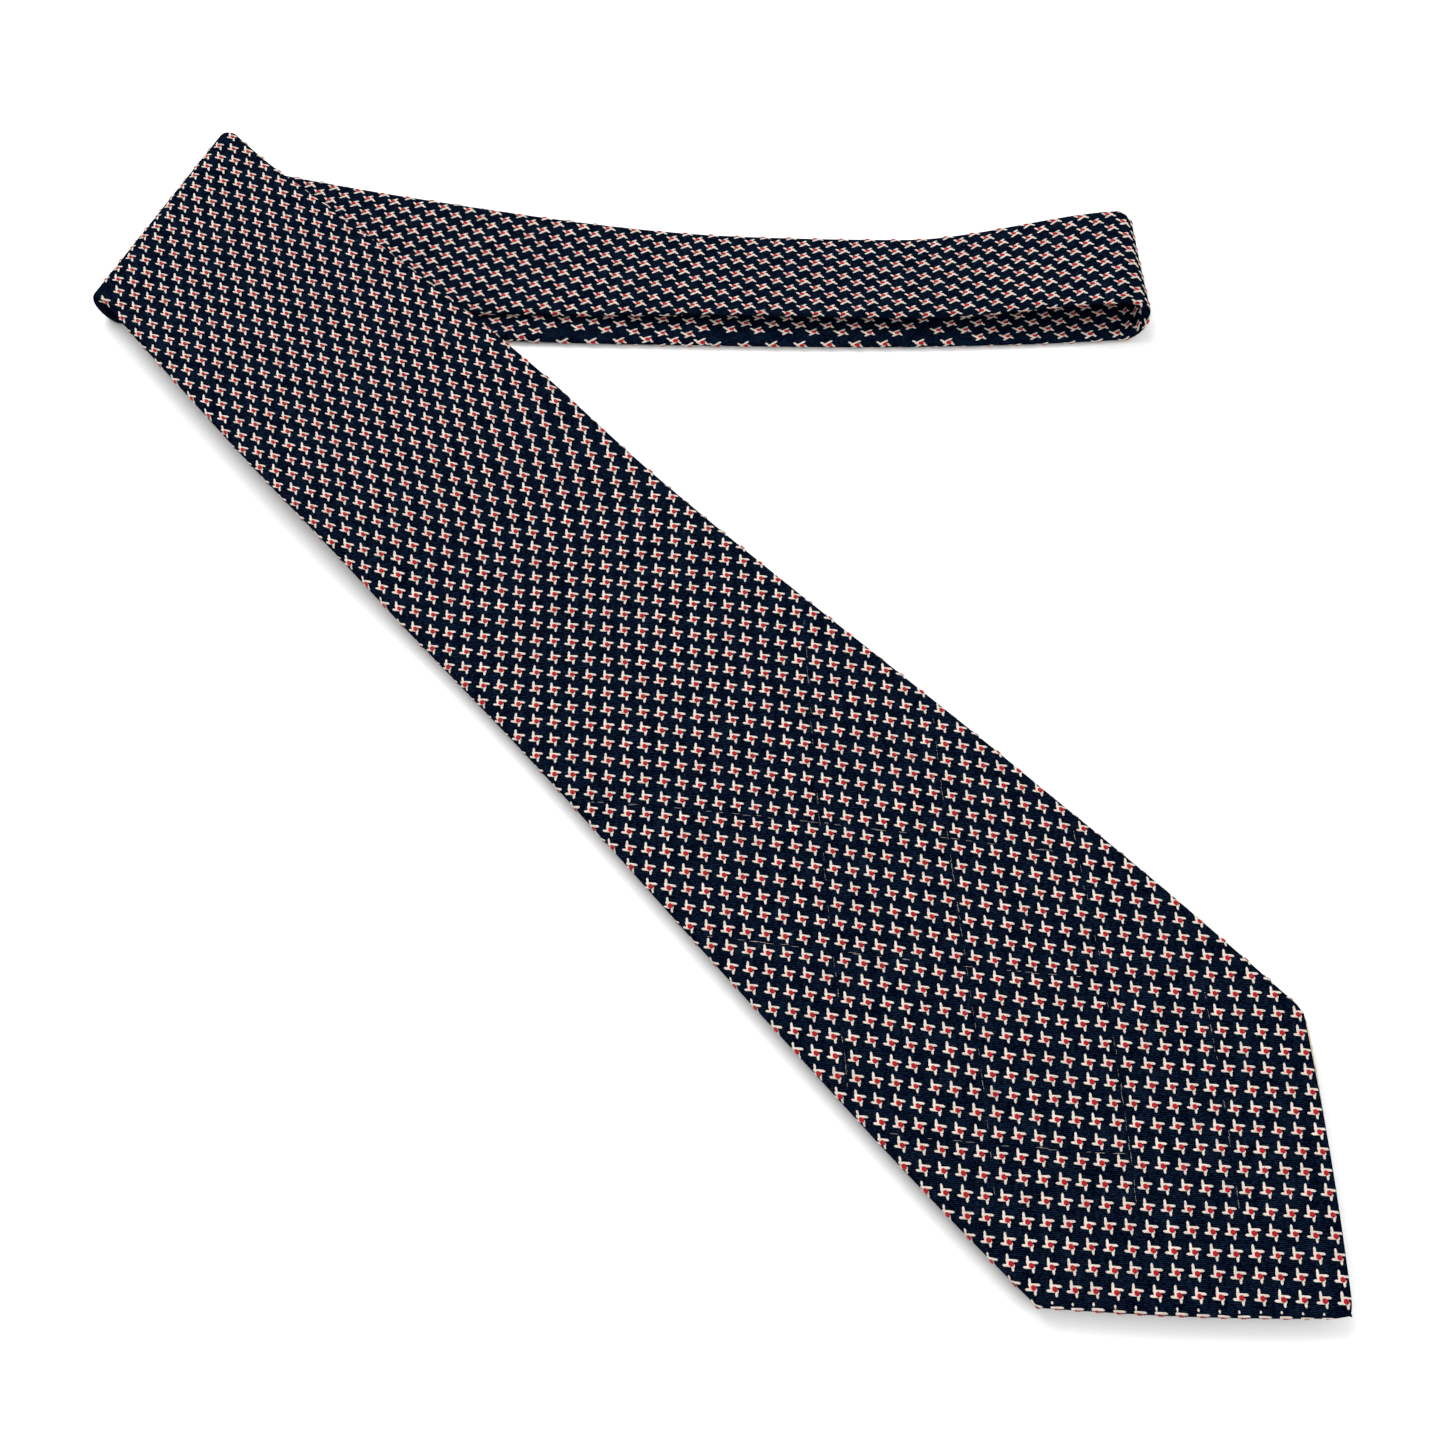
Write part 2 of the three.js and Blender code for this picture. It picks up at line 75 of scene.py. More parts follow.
# %% Sizes, in millimetres
MM = 0.001
THICK, SILK, INTERLINING = 2.6, 0.45, 0.7
HALF = THICK / 2
Z_LOW, Z_HIGH, Z_TAIL, Z_BLADE, DROP_DEPTH = 1.3, 4.2, 7.1, 10.9, 4.9
BLADE_REACH, TAIL_REACH, NECK_REACH = 423.5, 400.0, 275.0
BLADE_WIDTH, TAIL_WIDTH, NECK_WIDTH, LOOP_WIDTH = 95.0, 50.0, 30.0, 33.4
BLADE_FOLD, TAIL_FOLD = 64.0, 45.0
POINT_DEPTH, POINT_LEAN, POINT_BOW, TIP_BLUNT = 50.0, 0.05, 1.1, 0.4
BLADE_SEAM, TAIL_SEAM = 230.0, 34.0
BLADE_TACK, TAIL_TACK, BLADE_HEM, TAIL_HEM = 150.0, 70.0, 14.0, 9.0
BLADE_HEADING, FOLD_LINE, NECK_HEADING = (math.radians(a) for a in (-44.5, 65.2, -10.4))
NECK_BEND, LOOP_HEIGHT, LOOP_SETTLE = 1060.0, 14.4, 61.0
TAIL_SHIFT, KEEPER_AT, KEEPER_WIDTH = 3.6, 209.5, 14.0
LOOP_RADIUS = (LOOP_HEIGHT - THICK) / 2
LOOP_LENGTH = math.pi * LOOP_RADIUS
NECK_LENGTH = 2 * NECK_REACH + LOOP_LENGTH
MIDDLE = np.array([-141.88736, 132.312347])     # of the fold line, from the middle of the footprint
AHEAD = np.array([math.cos(BLADE_HEADING), math.sin(BLADE_HEADING)])
ASIDE = np.array([-AHEAD[1], AHEAD[0]])
FOLD_ALONG = np.array([math.cos(FOLD_LINE), math.sin(FOLD_LINE)])
FOLD_OUT = np.array([-FOLD_ALONG[1], FOLD_ALONG[0]])   # away from the neck and the blade
END_SLANT = math.tan(BLADE_HEADING + math.pi / 2 - FOLD_LINE)
NECK_SLANT = math.tan(NECK_HEADING + math.pi / 2 - FOLD_LINE)


# %% Smooth helpers
def smooth(a, b, x):
    """0 before a, 1 after b, and 3t^2 - 2t^3 between them."""
    t = np.clip((np.asarray(x, float) - a) / (b - a), 0, 1)
    return t * t * (3 - 2 * t)


def through(points):
    """A smooth curve through (position, value) points: cubic pieces with the harmonic mean of the two slopes
    at each point, so it never overshoots; level past both ends."""
    x, v = (np.array(c, float) for c in zip(*points))
    slope = np.diff(v) / np.diff(x)
    before, after = np.r_[0, slope], np.r_[slope, 0]
    same = before * after > 0
    tangent = np.where(same, 2 * before * after / np.where(same, before + after, 1), 0)

    def curve(at):
        at = np.clip(np.asarray(at, float), x[0], x[-1])
        i = np.clip(np.searchsorted(x, at, side="right") - 1, 0, len(x) - 2)
        span = x[i + 1] - x[i]
        t = (at - x[i]) / span
        return (v[i] + (v[i + 1] - v[i]) * t * t * (3 - 2 * t)
                + span * t * (1 - t) * (tangent[i] * (1 - t) - tangent[i + 1] * t))
    return curve


def mix(a, b, t):
    return a + (b - a) * t


# %% Half widths of the four sections
FOLD_EASE = 1.03
neck_half = through(
    [(0, BLADE_FOLD / 2 * FOLD_EASE)]
    + [(at, mix(LOOP_WIDTH, BLADE_FOLD, share) / 2) for at, share in ((36, 0.57), (108, 0.3), (168, 0.11))]
    + [(NECK_REACH, LOOP_WIDTH / 2), (NECK_REACH + LOOP_LENGTH + LOOP_SETTLE, NECK_WIDTH / 2),
       (NECK_LENGTH - 168, NECK_WIDTH / 2), (NECK_LENGTH - 60, mix(NECK_WIDTH, TAIL_FOLD, 0.75) / 2),
       (NECK_LENGTH, TAIL_FOLD / 2 * FOLD_EASE)])
blade_taper = through(
    [(0, BLADE_FOLD / 2)]
    + [(BLADE_REACH - at, mix(BLADE_FOLD, BLADE_WIDTH, share) / 2)
       for at, share in ((393, 0.14), (325, 0.39), (237, 0.535), (137, 0.86))]
    + [(BLADE_REACH - 70, BLADE_WIDTH / 2)])
tail_taper = through([(0, TAIL_FOLD / 2), (TAIL_REACH - 30, TAIL_WIDTH / 2)])


def pointed(taper, reach, depth):
    """Half the width of an end: the taper, cut by two slightly bowed lines that meet at the point."""
    def half(along):
        share = np.clip((reach - along) / depth, 0, 1)
        point = taper(reach - depth) * share + POINT_BOW * np.sin(np.pi * share) + TIP_BLUNT
        return np.where(share < 1, np.minimum(taper(along), point), taper(along))
    return half


blade_half = pointed(blade_taper, BLADE_REACH, POINT_DEPTH)
tail_half = pointed(tail_taper, TAIL_REACH, TAIL_WIDTH / 2)
print("blade at its widest:", 2 * float(blade_half(BLADE_REACH - 60)), "mm")


# %% The maps to space
def end_map(height, side, reach, shift):
    """A straight section: (along, across) turned to the blade's heading. Its level eases down by DROP_DEPTH
    where it leaves the stack of neck layers. side is 1 for right side up, -1 for right side down."""
    def place(along, across, out):
        bow = 1.2 * np.sin(np.pi * np.clip(along / (0.86 * reach), 0, 1))
        y = across + bow + shift * (1 - smooth(0, KEEPER_AT - KEEPER_WIDTH / 2, along))
        z = height - DROP_DEPTH * smooth(104, 165, along) + side * out
        plan = MIDDLE + along[..., None] * AHEAD + y[..., None] * ASIDE
        return np.concatenate([plan, z[..., None]], -1)
    return place


on_blade = end_map(Z_BLADE, 1, BLADE_REACH, 0.0)
on_tail = end_map(Z_TAIL, -1, TAIL_REACH, TAIL_SHIFT)


def on_neck(along, across, out):
    """The neck: level along the table on a slow curve of radius NECK_BEND, half a turn of LOOP_RADIUS at the
    right, then back, easing down on top of itself. Its near edge gapes a little after the turn."""
    turn = np.clip((along - NECK_REACH) / LOOP_RADIUS, 0, np.pi)
    back = np.maximum(0, along - NECK_REACH - LOOP_LENGTH)
    top = Z_LOW + 2 * LOOP_RADIUS
    steep = (top - Z_HIGH) * 6 * np.minimum(back, LOOP_SETTLE) * \
             np.maximum(LOOP_SETTLE - back, 0) / LOOP_SETTLE**3
    lean = turn + np.arctan(np.where(back > 0, steep, 0))
    forward = np.minimum(along, NECK_REACH) + LOOP_RADIUS * np.sin(turn) - back + out * np.sin(lean)
    level = np.where(back > 0, mix(top, Z_HIGH, smooth(0, LOOP_SETTLE, back)),
                     Z_LOW + LOOP_RADIUS * (1 - np.cos(turn)))
    gape = 2.4 * smooth(0, LOOP_SETTLE, back) * (1 - smooth(100, 170, back))
    z = level - out * np.cos(lean) + gape * (1 - across / neck_half(along)) / 2
    y = across + TAIL_SHIFT * smooth(NECK_REACH, NECK_REACH + LOOP_LENGTH, along)
    angle = NECK_HEADING + forward / NECK_BEND
    return np.stack([MIDDLE[0] + NECK_BEND * (np.sin(angle) - math.sin(NECK_HEADING)) - y * np.sin(angle),
                     MIDDLE[1] + NECK_BEND * (math.cos(NECK_HEADING) - np.cos(angle)) + y * np.cos(angle), z], -1)


def fold_map(low, high, side, shift):
    """Half a turn about the fold line, from the neck's level (turn 0) up to the end's (turn pi)."""
    radius = (high - low) / 2

    def place(turn, across, out):
        reach = radius + side * out
        v = (across + shift) * mix(math.hypot(1, NECK_SLANT), math.hypot(1, END_SLANT), turn / np.pi)
        left = reach * np.sin(turn)
        plan = MIDDLE + v[..., None] * FOLD_ALONG + left[..., None] * FOLD_OUT
        return np.concatenate([plan, ((low + high) / 2 - reach * np.cos(turn))[..., None]], -1)
    return place


on_blade_fold = fold_map(Z_LOW, Z_BLADE, 1, 0.0)
on_tail_fold = fold_map(Z_HIGH, Z_TAIL, -1, TAIL_SHIFT)

# %% [markdown]
# ## From flat cloth to a folded strip
# Every panel is one flat strip whose two long sides are turned round an interlining and meet down the middle
# of the back. A point of the flat strip has a distance w from the middle line. Up to the edge it lies on the
# front, then it goes half round the rolled edge, and then it comes back on the back.


# %% Cross section of the shell
def section(half, w):
    """(across, out, normal across, normal out) for flat cloth position w: level front, half turn of radius
    thick/2 at the edge, level back. At the point the radius shrinks with the half width."""
    radius = np.minimum(HALF, half * 0.98)
    flat = half - radius
    side, u = np.sign(w), np.abs(w)
    phi = np.clip((u - flat) / radius, 0, np.pi)
    behind = np.maximum(u - flat - np.pi * radius, 0)
    across = side * (np.minimum(u, flat) + radius * np.sin(phi) - behind)
    return across, radius * np.cos(phi), side * np.sin(phi), np.cos(phi)


def ripple(along, w, seed):
    """Slow unevenness of pressed silk, in millimetres: five sine waves of 14 to 60 mm with seeded phases."""
    rng = np.random.default_rng(seed)
    total = np.zeros(np.broadcast(along, w).shape)
    for _ in range(5):
        length, heading, phase = rng.uniform(14, 60), rng.uniform(0, np.pi), rng.uniform(0, 2 * np.pi)
        total += np.sin(2 * np.pi * (along * np.cos(heading) + w * np.sin(heading)) / length + phase)
    return total * 0.035


# %% Mesh makers
def finish_mesh(name, vertices, faces, uv):
    """A smooth-shaded object of equal-sided faces, with its UVs in millimetres of flat cloth."""
    mesh = bpy.data.meshes.new(name)
    vertices, faces = np.asarray(vertices, float), np.asarray(faces, int)
    mesh.vertices.add(len(vertices))
    mesh.vertices.foreach_set("co", vertices.ravel())
    sides = faces.shape[1]
    mesh.loops.add(faces.size)
    mesh.loops.foreach_set("vertex_index", faces.ravel())
    mesh.polygons.add(len(faces))
    mesh.polygons.foreach_set("loop_start", np.arange(len(faces)) * sides)
    layer = mesh.uv_layers.new(name="Cloth")
    layer.data.foreach_set("uv", np.asarray(uv, float)[faces.ravel()].ravel())
    mesh.update(calc_edges=True)
    mesh.validate()
    mesh.polygons.foreach_set("use_smooth", np.ones(len(faces), bool))
    thing = bpy.data.objects.new(name, mesh)
    bpy.context.scene.collection.objects.link(thing)
    return thing


def grid_faces(rows, columns, flip=False, start=0):
    """Quads of a rows x columns grid of points, counted along each row."""
    r, c = np.meshgrid(np.arange(rows - 1), np.arange(columns - 1), indexing="ij")
    a = (r * columns + c).ravel() + start
    quad = np.stack([a, a + 1, a + columns + 1, a + columns], 1)
    return quad[:, ::-1] if flip else quad


def cloth(name, points, uv, thickness, flip=False):
    """A grid of points (rows, columns, 3) as one sheet of cloth, given its thickness on the inner side."""
    rows, columns = points.shape[:2]
    thing = finish_mesh(name, points.reshape(-1, 3), grid_faces(rows, columns, flip), uv.reshape(-1, 2))
    thick = thing.modifiers.new("cloth", "SOLIDIFY")
    thick.thickness, thick.offset, thick.use_rim = thickness * MM, -1.0, True
    return thing


# %% [markdown]
# ## Finishes
# The ground is a navy twill with brighter and darker yarns, so its colour is mottled at the size of one yarn
# and its bump follows fine slanting ribs. The grain follows the cloth, because it reads the cloth's own UV
# map, in millimetres of flat silk. The same weave group serves the silk, the linings and the labels.


# %% The weave group
def new_group(name, inputs, outputs):
    group = bpy.data.node_groups.new(name, "ShaderNodeTree")
    for label, kind, value in inputs:
        socket = group.interface.new_socket(name=label, in_out="INPUT", socket_type=kind)
        if value is not None:
            socket.default_value = value
    for label, kind in outputs:
        group.interface.new_socket(name=label, in_out="OUTPUT", socket_type=kind)
    return group, group.nodes.new("NodeGroupInput"), group.nodes.new("NodeGroupOutput")


def math_node(tree, operation, a, b=None, c=None):
    node = tree.nodes.new("ShaderNodeMath")
    node.operation = operation
    for socket, value in zip(node.inputs, (a, b, c)):
        if value is None:
            continue
        if isinstance(value, (int, float)):
            socket.default_value = value
        else:
            tree.links.new(value, socket)
    return node.outputs[0]


weave, weave_in, weave_out = new_group(
    "woven_yarns",
    [("Vector", "NodeSocketVector", None), ("Ribs per mm", "NodeSocketFloat", 2.4),
     ("Grain per mm", "NodeSocketFloat", 1.6), ("Slant", "NodeSocketFloat", 0.72)],
    [("Rib", "NodeSocketFloat"), ("Grain", "NodeSocketFloat"), ("Patch", "NodeSocketFloat"),
     ("Height", "NodeSocketFloat")])
turned = weave.nodes.new("ShaderNodeVectorRotate")
turned.rotation_type = "Z_AXIS"
weave.links.new(weave_in.outputs["Vector"], turned.inputs["Vector"])
weave.links.new(weave_in.outputs["Slant"], turned.inputs["Angle"])
parts = weave.nodes.new("ShaderNodeSeparateXYZ")
weave.links.new(turned.outputs[0], parts.inputs[0])
rate = math_node(weave, "MULTIPLY", weave_in.outputs["Ribs per mm"], 2 * math.pi)
wobble = weave.nodes.new("ShaderNodeTexNoise")
wobble.inputs["Scale"].default_value, wobble.inputs["Detail"].default_value = 0.9, 2.0
weave.links.new(turned.outputs[0], wobble.inputs["Vector"])
rib_at = math_node(
    weave,
    "MULTIPLY_ADD",
    parts.outputs["X"],
    rate,
    math_node(
        weave,
        "MULTIPLY",
        wobble.outputs[0],
         5.0))
rib = math_node(weave, "MULTIPLY_ADD", math_node(weave, "SINE", rib_at), 0.5, 0.5)
cross_at = math_node(weave, "MULTIPLY", parts.outputs["Y"], math_node(weave, "MULTIPLY", rate, 0.8))
cross = math_node(weave, "MULTIPLY_ADD", math_node(weave, "SINE", cross_at), 0.5, 0.5)
stretch = weave.nodes.new("ShaderNodeMapping")
stretch.inputs["Scale"].default_value = (1.0, 0.55, 1.0)
weave.links.new(turned.outputs[0], stretch.inputs["Vector"])
grain = weave.nodes.new("ShaderNodeTexNoise")
grain.inputs["Detail"].default_value, grain.inputs["Roughness"].default_value = 3.0, 0.6
weave.links.new(stretch.outputs[0], grain.inputs["Vector"])
weave.links.new(weave_in.outputs["Grain per mm"], grain.inputs["Scale"])
patch_noise = weave.nodes.new("ShaderNodeTexNoise")
patch_noise.inputs["Scale"].default_value, patch_noise.inputs["Detail"].default_value = 0.22, 2.0
weave.links.new(turned.outputs[0], patch_noise.inputs["Vector"])
weave.links.new(rib, weave_out.inputs["Rib"])
weave.links.new(grain.outputs[0], weave_out.inputs["Grain"])
weave.links.new(patch_noise.outputs[0], weave_out.inputs["Patch"])
height = math_node(weave, "MULTIPLY_ADD", rib, 0.6, math_node(weave, "MULTIPLY", cross, 0.25))
weave.links.new(math_node(weave, "MULTIPLY_ADD", grain.outputs[0], 0.6, height), weave_out.inputs["Height"])


# %% Woven materials
def woven(
    name,
    dark,
    light,
    ribs,
    grain_size,
    slant,
    roughness,
    sheen,
    bump,
    low=0.36,
    high=0.68,
    rib_share=0.3,
    specular=0.1,
     solid=False):
    """Cloth colour runs from dark to light with the grain and a share of the rib; the bump is the weave's.
    A carried-over solid has no cloth map, so solid reads its place in space instead."""
    material = bpy.data.materials.new(name)
    material.use_nodes = True
    tree = material.node_tree
    shader = tree.nodes["Principled BSDF"]
    yarns = tree.nodes.new("ShaderNodeGroup")
    yarns.node_tree = weave
    if solid:
        metres = tree.nodes.new("ShaderNodeTexCoord")
        place = tree.nodes.new("ShaderNodeMapping")
        place.inputs["Scale"].default_value = (1000, 1000, 1000)
        tree.links.new(metres.outputs["Object"], place.inputs["Vector"])
    else:
        place = tree.nodes.new("ShaderNodeUVMap")
        place.uv_map = "Cloth"
    tree.links.new(place.outputs[0], yarns.inputs["Vector"])
    yarns.inputs["Ribs per mm"].default_value = ribs
    yarns.inputs["Grain per mm"].default_value = grain_size
    yarns.inputs["Slant"].default_value = slant
    tone = math_node(tree, "MULTIPLY_ADD", yarns.outputs["Rib"], rib_share, yarns.outputs["Grain"])
    tone = math_node(
    tree,
    "MULTIPLY_ADD",
    yarns.outputs["Patch"],
    0.35,
    math_node(
        tree,
        "SUBTRACT",
        tone,
         0.32))
    ramp = tree.nodes.new("ShaderNodeValToRGB")
    ramp.color_ramp.elements[0].position, ramp.color_ramp.elements[1].position = low, high
    ramp.color_ramp.elements[0].color, ramp.color_ramp.elements[1].color = (*dark, 1), (*light, 1)
    tree.links.new(tone, ramp.inputs[0])
    tree.links.new(ramp.outputs[0], shader.inputs["Base Color"])
    rough = math_node(tree, "MULTIPLY_ADD", yarns.outputs["Grain"], -0.12, roughness + 0.06)
    tree.links.new(rough, shader.inputs["Roughness"])
    shader.inputs["Specular IOR Level"].default_value = specular
    shader.inputs["Sheen Weight"].default_value = sheen
    shader.inputs["Sheen Roughness"].default_value = 0.45
    bumps = tree.nodes.new("ShaderNodeBump")
    bumps.inputs["Strength"].default_value, bumps.inputs["Distance"].default_value = 1.0, bump * MM
    tree.links.new(yarns.outputs["Height"], bumps.inputs["Height"])
    tree.links.new(bumps.outputs[0], shader.inputs["Normal"])
    return material


navy = woven("navy_silk", (0.0001, 0.0007, 0.0040), (0.011, 0.024, 0.052), 2.4, 2.1, 0.72, 0.62, 0.0, 0.11,
             0.50, 0.94, 0.34, specular=0.0)
lining = woven("navy_lining", (0.0015, 0.0035, 0.012), (0.005, 0.010, 0.028), 3.2, 0.9, 0.0, 0.42, 0.0, 0.04,
               specular=0.04)
satin = woven("label_satin", (0.008, 0.011, 0.021), (0.018, 0.025, 0.044), 4.0, 2.0, 1.5708, 0.35, 0.05, 0.03)
tape = woven("care_tape", (0.40, 0.38, 0.34), (0.55, 0.53, 0.48), 3.4, 1.5, 0.0, 0.6, 0.1, 0.05)
WOOL = ((0.36, 0.31, 0.22), (0.62, 0.56, 0.44), 1.2, 0.8, 0.3, 0.9, 0.2, 0.25)
wool = woven("brushed_wool", *WOOL)
solid_wool = woven("brushed_wool_in_space", *WOOL, solid=True)
thread = woven("sewing_thread", (0.002, 0.004, 0.014), (0.006, 0.012, 0.035), 5.0, 1.5, 0.6, 0.55, 0.1, 0.05)


def yarn(name, colour, shade, roughness):
    """Floating silk yarn: fine filaments along each float, a little uneven in tone."""
    return woven(name, shade, colour, 5.5, 1.3, 0.0, roughness, 0.12, 0.05, 0.2, 0.7, 0.25)


cream = yarn("cream_yarn", (0.76, 0.68, 0.60), (0.44, 0.37, 0.31), 0.55)
red = yarn("red_yarn", (0.44, 0.005, 0.012), (0.22, 0.002, 0.007), 0.5)
print("materials:", len(bpy.data.materials))

# %% [markdown]
# ## The woven figure
# A small cream windmill with a red dot sits at every crossing of a square lattice. A tie is cut on the bias,
# so both thread directions run at about 45 degrees to its length, and where the cloth has been pulled the
# threads close up to little more than 30 degrees. The pitch along a thread never changes. With the half angle
# theta at each place, the lattice counts are
#     a = w / (2 P sin theta) - tau,   b = w / (2 P sin theta) + tau,   tau = integral of ds / (2 P cos theta)
# and a windmill stands wherever both counts are whole.

# %% The lattice
PITCH = 4.59


class Lattice:
    """Thread counts of one panel. angles: (along, degrees) of the half angle; centre: the flat position w
    that the threads close up to; phase_a and phase_b: the counts' offsets."""

    def __init__(self, angles, length, centre=0.0, drift=0.0, phase_a=0.0, phase_b=0.0):
        self.s = np.linspace(-60, length + 60, 2400)
        theta = np.radians(through(angles)(self.s))
        self.c = 2 * PITCH * np.sin(theta)
        rate = 1 / (2 * PITCH * np.cos(theta))
        self.tau = np.r_[0, np.cumsum((rate[1:] + rate[:-1]) / 2 * np.diff(self.s))]
        self.theta, self.centre, self.drift = theta, centre, drift
        self.phase = (phase_a, phase_b)

    def middle(self, s):
        return self.centre + self.drift * s

    def counts(self, s, w):
        x = (w - self.middle(s)) / np.interp(s, self.s, self.c)
        tau = np.interp(s, self.s, self.tau)
        return x - tau + self.phase[0], x + tau + self.phase[1]

    def places(self, low, high, reach):
        """Every whole crossing with low <= s <= high and |w| <= reach."""
        corners = [self.counts(s, w) for s in (low, high) for w in (-reach, reach)]
        a_range, b_range = ([c[k] for c in corners] for k in (0, 1))
        a, b = np.meshgrid(np.arange(math.floor(min(a_range)) - 3, max(a_range) + 3),
                           np.arange(math.floor(min(b_range)) - 3, max(b_range) + 3), indexing="ij")
        a, b = a.ravel(), b.ravel()
        tau = (b - self.phase[1] - a + self.phase[0]) / 2
        s = np.interp(tau, self.tau, self.s, left=-1e6, right=1e6)
        w = self.middle(s) + (a - self.phase[0] + b - self.phase[1]) / 2 * np.interp(s, self.s, self.c)
        keep = (s >= low) & (s <= high) & (np.abs(w) <= reach)
        return s[keep], w[keep], np.interp(s[keep], self.s, self.theta)


# %% [markdown]
# One windmill is four floats and a dot. Each float is a low mound, 3 quads across and 3 along, whose last row
# is narrower so that the end looks round, and the dot is a six-sided dome: 48 faces in all, because there are
# thousands of them. A float's middle line stands a tenth of the pitch off centre, always on the same side as
# one goes round, which makes the four arms turn. They are worked out once on a flat pattern, in shares of the
# pitch, and then every copy is bent with the cloth that it is woven into.


# %% One windmill, flat
def float_mound(turned_by, offset, start, reach, width=0.150, height=0.20):
    """A mound from start to reach along +q at p = offset, turned by quarter turns."""
    along = np.array([start, mix(start, reach, 0.45), mix(start, reach, 0.86), reach])
    wide = np.array([1.0, 1.0, 0.92, 0.45]) * width / 2
    level = np.array([0.9, 1.0, 0.85, 0.1]) * height
    across = np.array([-1.0, -0.42, 0.42, 1.0])
    rise = np.array([0.0, 1.0, 1.0, 0.0])
    p = offset + wide[:, None] * across
    q = np.repeat(along[:, None], 4, 1)
    h = level[:, None] * rise - 0.03
    uv = np.stack([across * width / 2 * PITCH + 0 * p, q * PITCH], -1)
    for _ in range(turned_by):
        p, q = q, -p
    points = np.stack([p, q, h], -1).reshape(-1, 3)
    return points, grid_faces(4, 4), uv.reshape(-1, 2)


def red_dome(p0=0.04, q0=-0.03, radius=0.148, height=0.32):
    """Two rings of six points and a flat top of two quads."""
    a = np.radians(np.arange(6) * 60 + 30)
    outer = np.stack([p0 + radius * np.cos(a), q0 + radius * np.sin(a), np.full(6, 0.19)], 1)
    inner = np.stack([p0 + 0.66 * radius * np.cos(a), q0 + 0.66 * radius * np.sin(a), np.full(6, height)], 1)
    ring = [[k, (k + 1) % 6, (k + 1) % 6 + 6, k + 6] for k in range(6)]
    points = np.concatenate([outer, inner])
    return points, np.array(ring + [[6, 7, 8, 9], [6, 9, 10, 11]]), points[:, :2] * PITCH


ARMS = ((0, -0.11, -0.16, 0.44), (1, -0.12, -0.20, 0.40), (2, -0.10, -0.16, 0.39), (3, -0.11, -0.20, 0.38))
pieces = [float_mound(*arm) for arm in ARMS] + [red_dome()]
offsets = np.cumsum([0] + [len(p[0]) for p in pieces])
WINDMILL = np.concatenate([p[0] for p in pieces])
WINDMILL_FACES = np.concatenate([p[1] + o for p, o in zip(pieces, offsets)])
WINDMILL_UV = np.concatenate([p[2] for p in pieces])
RED_FROM = sum(len(p[1]) for p in pieces[:-1])
print("faces in a windmill:", len(WINDMILL_FACES))


# %% Weaving the figures into a surface
def windmills(name, surface, s, w, theta, seed, mirror=False):
    """Copies of the windmill at (s, w): p runs along one thread family, (cos theta, sin theta) in (s, w),
    and -q along the other, (cos theta, -sin theta). Where (s, w, outwards) is a left-handed set, mirror
    turns theta round, so that the windmill isn't mirrored. Each copy is a little off at random."""
    rng = np.random.default_rng(seed)
    count = len(s)
    turn = rng.normal(0, 0.035, count)[:, None]
    size = rng.normal(1.0, 0.025, count)[:, None]
    p0, q0, h0 = WINDMILL.T
    if mirror:
        theta = -theta
    p = (p0 * np.cos(turn) - q0 * np.sin(turn)) * size + rng.normal(0, 0.012, count)[:, None]
    q = (p0 * np.sin(turn) + q0 * np.cos(turn)) * size + rng.normal(0, 0.012, count)[:, None]
    c, d = np.cos(theta)[:, None], np.sin(theta)[:, None]
    at_s = s[:, None] + PITCH * (p * c - q * c)
    at_w = w[:, None] + PITCH * (p * d + q * d)
    points = surface(at_s, at_w, h0[None, :] * rng.normal(1.0, 0.08, count)[:, None])
    faces = (WINDMILL_FACES[None] + np.arange(count)[:, None, None] * len(WINDMILL)).reshape(-1, 4)
    uv = (WINDMILL_UV[None] + rng.uniform(0, 400, (count, 1, 2))).reshape(-1, 2)
    thing = finish_mesh(name, points.reshape(-1, 3), faces, uv)
    thing.data.materials.append(cream)
    thing.data.materials.append(red)
    index = np.tile(np.arange(len(WINDMILL_FACES)) >= RED_FROM, count).astype(np.int32)
    thing.data.polygons.foreach_set("material_index", index)
    return thing


# %% [markdown]
# ## The panels
# A panel's grid has more columns on the rolled edges than on the level cloth. Where a section ends at the
# fold its rows run parallel to the fold line, and where it ends at a seam they run at 45 degrees, as the
# panels are joined along a thread.


# %% Grids of a panel
def strip_columns(half, flap, back=7, roll=7, front=26):
    """Flat cloth positions w across a panel, for each row: free edge of one flap, its rolled edge, the
    front, the other rolled edge, the other free edge."""
    radius = np.minimum(HALF, half * 0.98)
    flat = half - radius
    edge = flat + np.pi * radius
    free = edge + np.maximum(flat - flap, 0.02)
    knots = [-free, -edge, -flat, flat, edge, free]
    spans = []
    for low, high, count in zip(knots, knots[1:], (back, roll, front, roll, back)):
        spans.append(low[..., None] + (high - low)[..., None] * np.arange(count) / count)
    return np.concatenate(spans + [free[..., None]], -1)


def flap_edge(half_at, reach, tack, hem):
    """Distance from the middle line to a flap's free edge: closed above the tack, and below it an open V
    whose hems stay as wide as hem."""
    def edge(along):
        from_point = reach - along
        closed = np.clip((from_point / tack - 0.4) / 0.6, 0, 1)
        return np.maximum(0.12, (half_at(along) - hem) * (1 - closed))
    return edge


def closed_point(half_at, end, rounding=2.2):
    """The half width, brought to nothing along a quarter circle at the very end."""
    def half(along):
        t = np.clip((np.asarray(along, float) - end + rounding) / rounding, 0, 0.9999)
        return half_at(along) * np.sqrt(1 - t * t)
    return half


